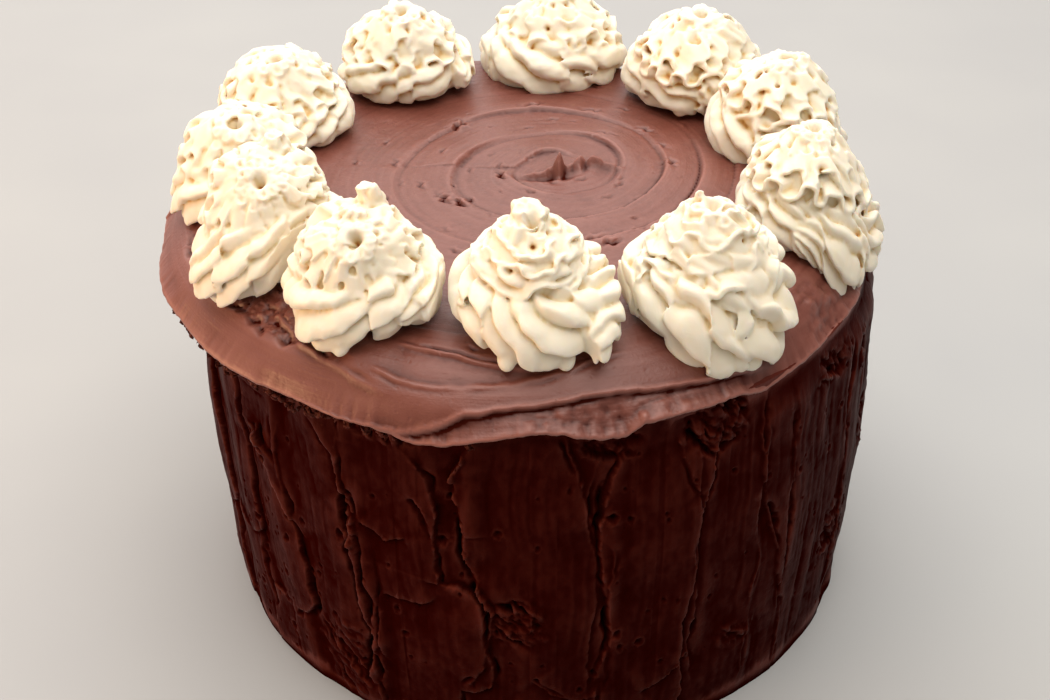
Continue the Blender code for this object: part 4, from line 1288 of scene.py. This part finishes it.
def frosting(name, crease_shade, body, ridge, roughness, shine, grain):
    """Chocolate buttercream spread with a palette knife: fine streaks along the knife's way, pores of air.

    Shade is painted into the creases and a highlight onto the ridges, in the colour; creases are also
    duller than ridges. The eye gets a soft satin that the streaks break up.
    """
    made, tree, shader = new_material(name)
    hollow = node(tree, "ShaderNodeAttribute", attribute_name="hollow").outputs["Fac"]
    knife = node(tree, "ShaderNodeAttribute", attribute_name="knife_way").outputs["Vector"]
    spot = node(tree, "ShaderNodeTexCoord").outputs["Object"]
    stretched = node(tree, "ShaderNodeMapping", {"Vector": knife, "Scale": KNIFE_STREAKS})
    streaks = node(tree, NOISE, {"Vector": stretched, "Scale": 1.0, "Detail": 3.0})
    patches = node(tree, NOISE, {"Vector": spot, "Scale": FROSTING_PATCHES, "Detail": 3.0})
    fine = node(tree, NOISE, {"Vector": spot, "Scale": FROSTING_GRAIN, "Detail": 3.0})
    share = node(tree, MATH, (hollow, -0.5, 0.5), operation="MULTIPLY_ADD")
    mottled = node(tree, MATH, (patches, 0.24, -0.12), operation="MULTIPLY_ADD")
    share = node(tree, MATH, (share, mottled), operation="ADD")
    # painted shade in the creases, the body colour between, and the ridge colour as painted highlight on
    # ridges
    ramp = node(tree, RAMP, (share,))
    colours = fill_ramp(ramp, (0.12, crease_shade), (0.5, body), (0.92, ridge))
    tree.links.new(colours.outputs[0], shader.inputs["Base Color"])
    dull = node(tree, MATH, (streaks, 0.16, roughness - 0.08), operation="MULTIPLY_ADD")
    dull = node(tree, MATH, (dull, 0.07), operation="SUBTRACT")
    dull = node(tree, MATH, (patches, 0.14, dull), operation="MULTIPLY_ADD")
    tree.links.new(dull.outputs[0], shader.inputs["Roughness"])
    gleam = fill_curve(node(tree, CURVE, {"Value": share}), list(zip((0.15, 0.5, 0.9), shine)))
    tree.links.new(gleam.outputs[0], shader.inputs["Specular IOR Level"])
    shader.inputs["IOR"].default_value = BUTTERCREAM_IOR
    pores = node(tree, "ShaderNodeTexVoronoi", {"Vector": spot, "Scale": FROSTING_PORES}).outputs["Distance"]
    pores = node(tree, RANGE, {"Value": pores, 1: 0.05, 2: 0.22, **between(0.0, 1.0)})
    bump = None
    for height, strength, depth in ((streaks, 0.5, 0.12), (pores, 0.35, 0.15), (fine, grain, 0.12)):
        sizes = {"Strength": strength, "Distance": depth * MM}
        bump = node(tree, "ShaderNodeBump", {**sizes, "Height": height, "Normal": bump})
    tree.links.new(bump.outputs[0], shader.inputs["Normal"])
    return made


def piped_buttercream():
    """Cream-coloured buttercream, piped stiff: it glows a little inside; painted shade yellows its deep
    folds.
    """
    made, tree, shader = new_material("piped_buttercream")
    hollow = node(tree, "ShaderNodeAttribute", attribute_name="hollow").outputs["Fac"]
    spot = node(tree, "ShaderNodeTexCoord").outputs["Object"]
    patches = node(tree, NOISE, {"Vector": spot, "Scale": CREAM_PATCHES, "Detail": 3.0})
    fine = node(tree, NOISE, {"Vector": spot, "Scale": CREAM_GRAIN, "Detail": 2.0})
    share = node(tree, MATH, (hollow, 0.5, 0.5), operation="MULTIPLY_ADD")
    mottled = node(tree, MATH, (patches, 0.16, -0.08), operation="MULTIPLY_ADD")
    share = node(tree, MATH, (share, mottled), operation="ADD")
    # painted shade: the colour darkens and yellows deep in the creases
    colours = fill_ramp(node(tree, RAMP, (share,)), *CREAM_AND_PAINTED_FOLD_SHADE)
    tree.links.new(colours.outputs[0], shader.inputs["Base Color"])
    looks = {"Roughness": 0.48, "Specular IOR Level": 0.35, "IOR": BUTTERCREAM_IOR, "Subsurface Weight": 0.28}
    looks |= {"Subsurface Radius": (1.0, 0.6, 0.3), "Subsurface Scale": 1.8 * MM}
    for socket, value in looks.items():
        shader.inputs[socket].default_value = value
    bump = node(tree, "ShaderNodeBump", {"Strength": 0.3, "Distance": 0.12 * MM, "Height": fine})
    tree.links.new(bump.outputs[0], shader.inputs["Normal"])
    return made


def flake_tree(brown):
    """Ragged crumbs hanging along an arc of the lip, as a Geometry Nodes tree."""
    tree, sizes = sized_tree("torn_flakes", FLAKES)
    seed = node(tree, "FunctionNodeFloatToInt", (sizes["Seed"],))
    later = node(tree, MATH, (seed, 7.0), operation="ADD")
    count = node(tree, "FunctionNodeFloatToInt", (sizes["Count"],))
    share = node(tree, RANDOM, {2: 0.0, 3: 1.0, "Seed": seed}).outputs[1]
    angle = node(tree, MATH, (share, sizes["Arc Sweep"], sizes["Arc Start"]), operation="MULTIPLY_ADD")
    ranges = {
        "jitter": ((-1, 0, -1), (0.4, 0, 1), later),
        "turn": ((0, 0, 0), (6.28, 6.28, 6.28), seed),
        "size": ((0.35, 0.2, 0.5), (1, 0.6, 1.7), later),
    }
    drawn = {}
    for name, (low, high, own_seed) in ranges.items():
        values = node(tree, RANDOM, {0: low, 1: high, "Seed": own_seed}, data_type="FLOAT_VECTOR")
        drawn[name] = values.outputs[0]
    jitter = node(tree, VECTOR, {0: drawn["jitter"], "Scale": sizes["Spread"]}, operation="SCALE")
    spoke = node(tree, COMBINE, {"X": sizes["Arc Radius"], "Z": sizes["Height"]})
    spoke = node(tree, VECTOR, (spoke, jitter), operation="ADD")
    place = node(tree, TURN, {"Vector": spoke, "Angle": angle}, rotation_type="Z_AXIS")
    spots = node(tree, "GeometryNodePoints", {"Count": count, "Position": place})
    crumb = node(tree, "GeometryNodeMeshIcoSphere", {"Radius": 0.5, "Subdivisions": 4})
    size = node(tree, VECTOR, {0: drawn["size"], "Scale": sizes["Flake Size"]}, operation="SCALE")
    placing = {"Points": spots, "Instance": crumb, "Rotation": drawn["turn"], "Scale": size}
    crumbs = node(tree, "GeometryNodeInstanceOnPoints", placing)
    whole = node(tree, "GeometryNodeRealizeInstances", {"Geometry": crumbs})
    torn = torn_offset(tree, sizes["Seed"], 620.0, 3.0, CRUMB_RAGGED)
    coat(tree, node(tree, MOVE, {"Geometry": whole, "Offset": torn}), brown)
    return tree


def torn_flakes(brown):
    """The crumbs torn loose under the slab's lip, at the left and the front."""
    mesh = evaluated_mesh(grown_object("lip_flakes", flake_tree(brown), FLAKES))
    points = point_array(mesh)
    points[:, 0] += SLAB_CENTRE_X
    set_points(mesh, points)
    mark_knife_way(mesh, points[:, 2], points[:, 0])
    mark_creases(mesh, 0.4 * MM, 3)
    finished(mesh, brown, "chocolate_frosting")


def aimed(obj, right, up, place):
    """Puts a camera or a lamp at a place, with its right and up sides pointing these ways."""
    turned = Matrix(np.stack([right, up, np.cross(right, up)], -1).tolist()).to_4x4()
    turned.translation = place
    obj.matrix_world = turned
    bpy.context.scene.collection.objects.link(obj)
    return obj


def camera():
    """The camera, above the front of the cake and looking down at it, with a slight roll."""
    data = bpy.data.cameras.new("camera")
    data.lens, data.sensor_width = 50, 36
    data.clip_start, data.clip_end = 0.02, 20
    level, over = np.array([1.0, 0, 0]), np.array([0, math.sin(CAMERA_PITCH), math.cos(CAMERA_PITCH)])
    right = level * math.cos(CAMERA_ROLL) + over * math.sin(CAMERA_ROLL)
    up = over * math.cos(CAMERA_ROLL) - level * math.sin(CAMERA_ROLL)
    bpy.context.scene.camera = aimed(bpy.data.objects.new("camera", data), right, up, CAMERA_PLACE)


def soft_light(name, place, target, size, power, colour):
    """A broad lamp at a place, facing a target and level across its width."""
    data = bpy.data.lights.new(name, "AREA")
    data.shape = "RECTANGLE"
    data.size, data.size_y = size
    data.energy = power
    data.color = linear(colour)[:3]
    away = np.array(place) - np.array(target)
    right = np.cross([0, 0, 1], away)
    right, away = right / np.linalg.norm(right), away / np.linalg.norm(away)
    aimed(bpy.data.objects.new(name, data), right, np.cross(away, right), place)


def studio():
    """A pale floor, a broad window of light behind and above the cake, and weaker light from the sides."""
    mesh = mesh_of("floor", [(-3, -3, 0), (3, -3, 0), (3, 3, 0), (-3, 3, 0)], [(0, 1, 2, 3)])
    made, tree, shader = new_material("matt_paper")
    spot = node(tree, "ShaderNodeTexCoord").outputs["Object"]
    fibre = node(tree, NOISE, {"Vector": spot, "Scale": 9.0, "Detail": 2.0})
    ramp = node(tree, RAMP, (fibre,))
    colours = fill_ramp(ramp, (0.3, "a4a4a4"), (0.7, "a8a8a7"))
    tree.links.new(colours.outputs[0], shader.inputs["Base Color"])
    shader.inputs["Roughness"].default_value = 0.9
    shader.inputs["Specular IOR Level"].default_value = 0.1
    mesh.materials.append(made)
    loose_object(mesh)
    world = bpy.data.worlds.new("studio")
    bpy.context.scene.world = world
    world.use_nodes = True
    world.node_tree.nodes["Background"].inputs["Color"].default_value = linear("f4f1ec")
    world.node_tree.nodes["Background"].inputs["Strength"].default_value = 0.26
    middle = (0, 0, 100 * MM)
    soft_light("window", (-0.4, 1.2, 0.95), middle, (2.4, 1.8), 25, "fbf7f4")
    soft_light("overhead", (0.0, 0.2, 1.4), middle, (2.0, 1.6), 28, "fffaf4")
    soft_light("front_fill", (0.2, -0.7, 1.35), middle, (1.3, 0.9), 9, "fff8f0")
    soft_light("left_side", (-1.1, -0.28, 0.22), (0, 0, 50 * MM), (0.9, 0.14), 9, "ffc894")
    bpy.context.scene.view_settings.view_transform = "Standard"


def main():
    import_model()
    # Lit and shaded copies of one frosting: the top painted lighter, as lit, and the wall near-black, as in
    # shade
    top = frosting("lit_top_chocolate_frosting", "380f08", "6e3a2e", "885246", 0.46, (0.1, 0.62, 0.65), 0.9)
    wall = frosting("shaded_wall_chocolate_frosting", "0c0101", "2c0502", "52190b", 0.48, (0.0, 0.01, 0.14), 0.7)
    torn = frosting("torn_chocolate_frosting", "200604", "4c1c12", "7a3a26", 0.5, (0.0, 0.1, 0.3), 0.4)
    finished(wall_frosting(), wall, "chocolate_frosting", "frosted_cake")
    finished(top_frosting(), top, "chocolate_frosting", "frosted_cake")
    torn_flakes(torn)
    cream = piped_buttercream()
    piping = rosette_tree(cream)
    for number in range(len(ROSETTES)):
        rosette(number, piping, cream)
    camera()
    studio()


main()
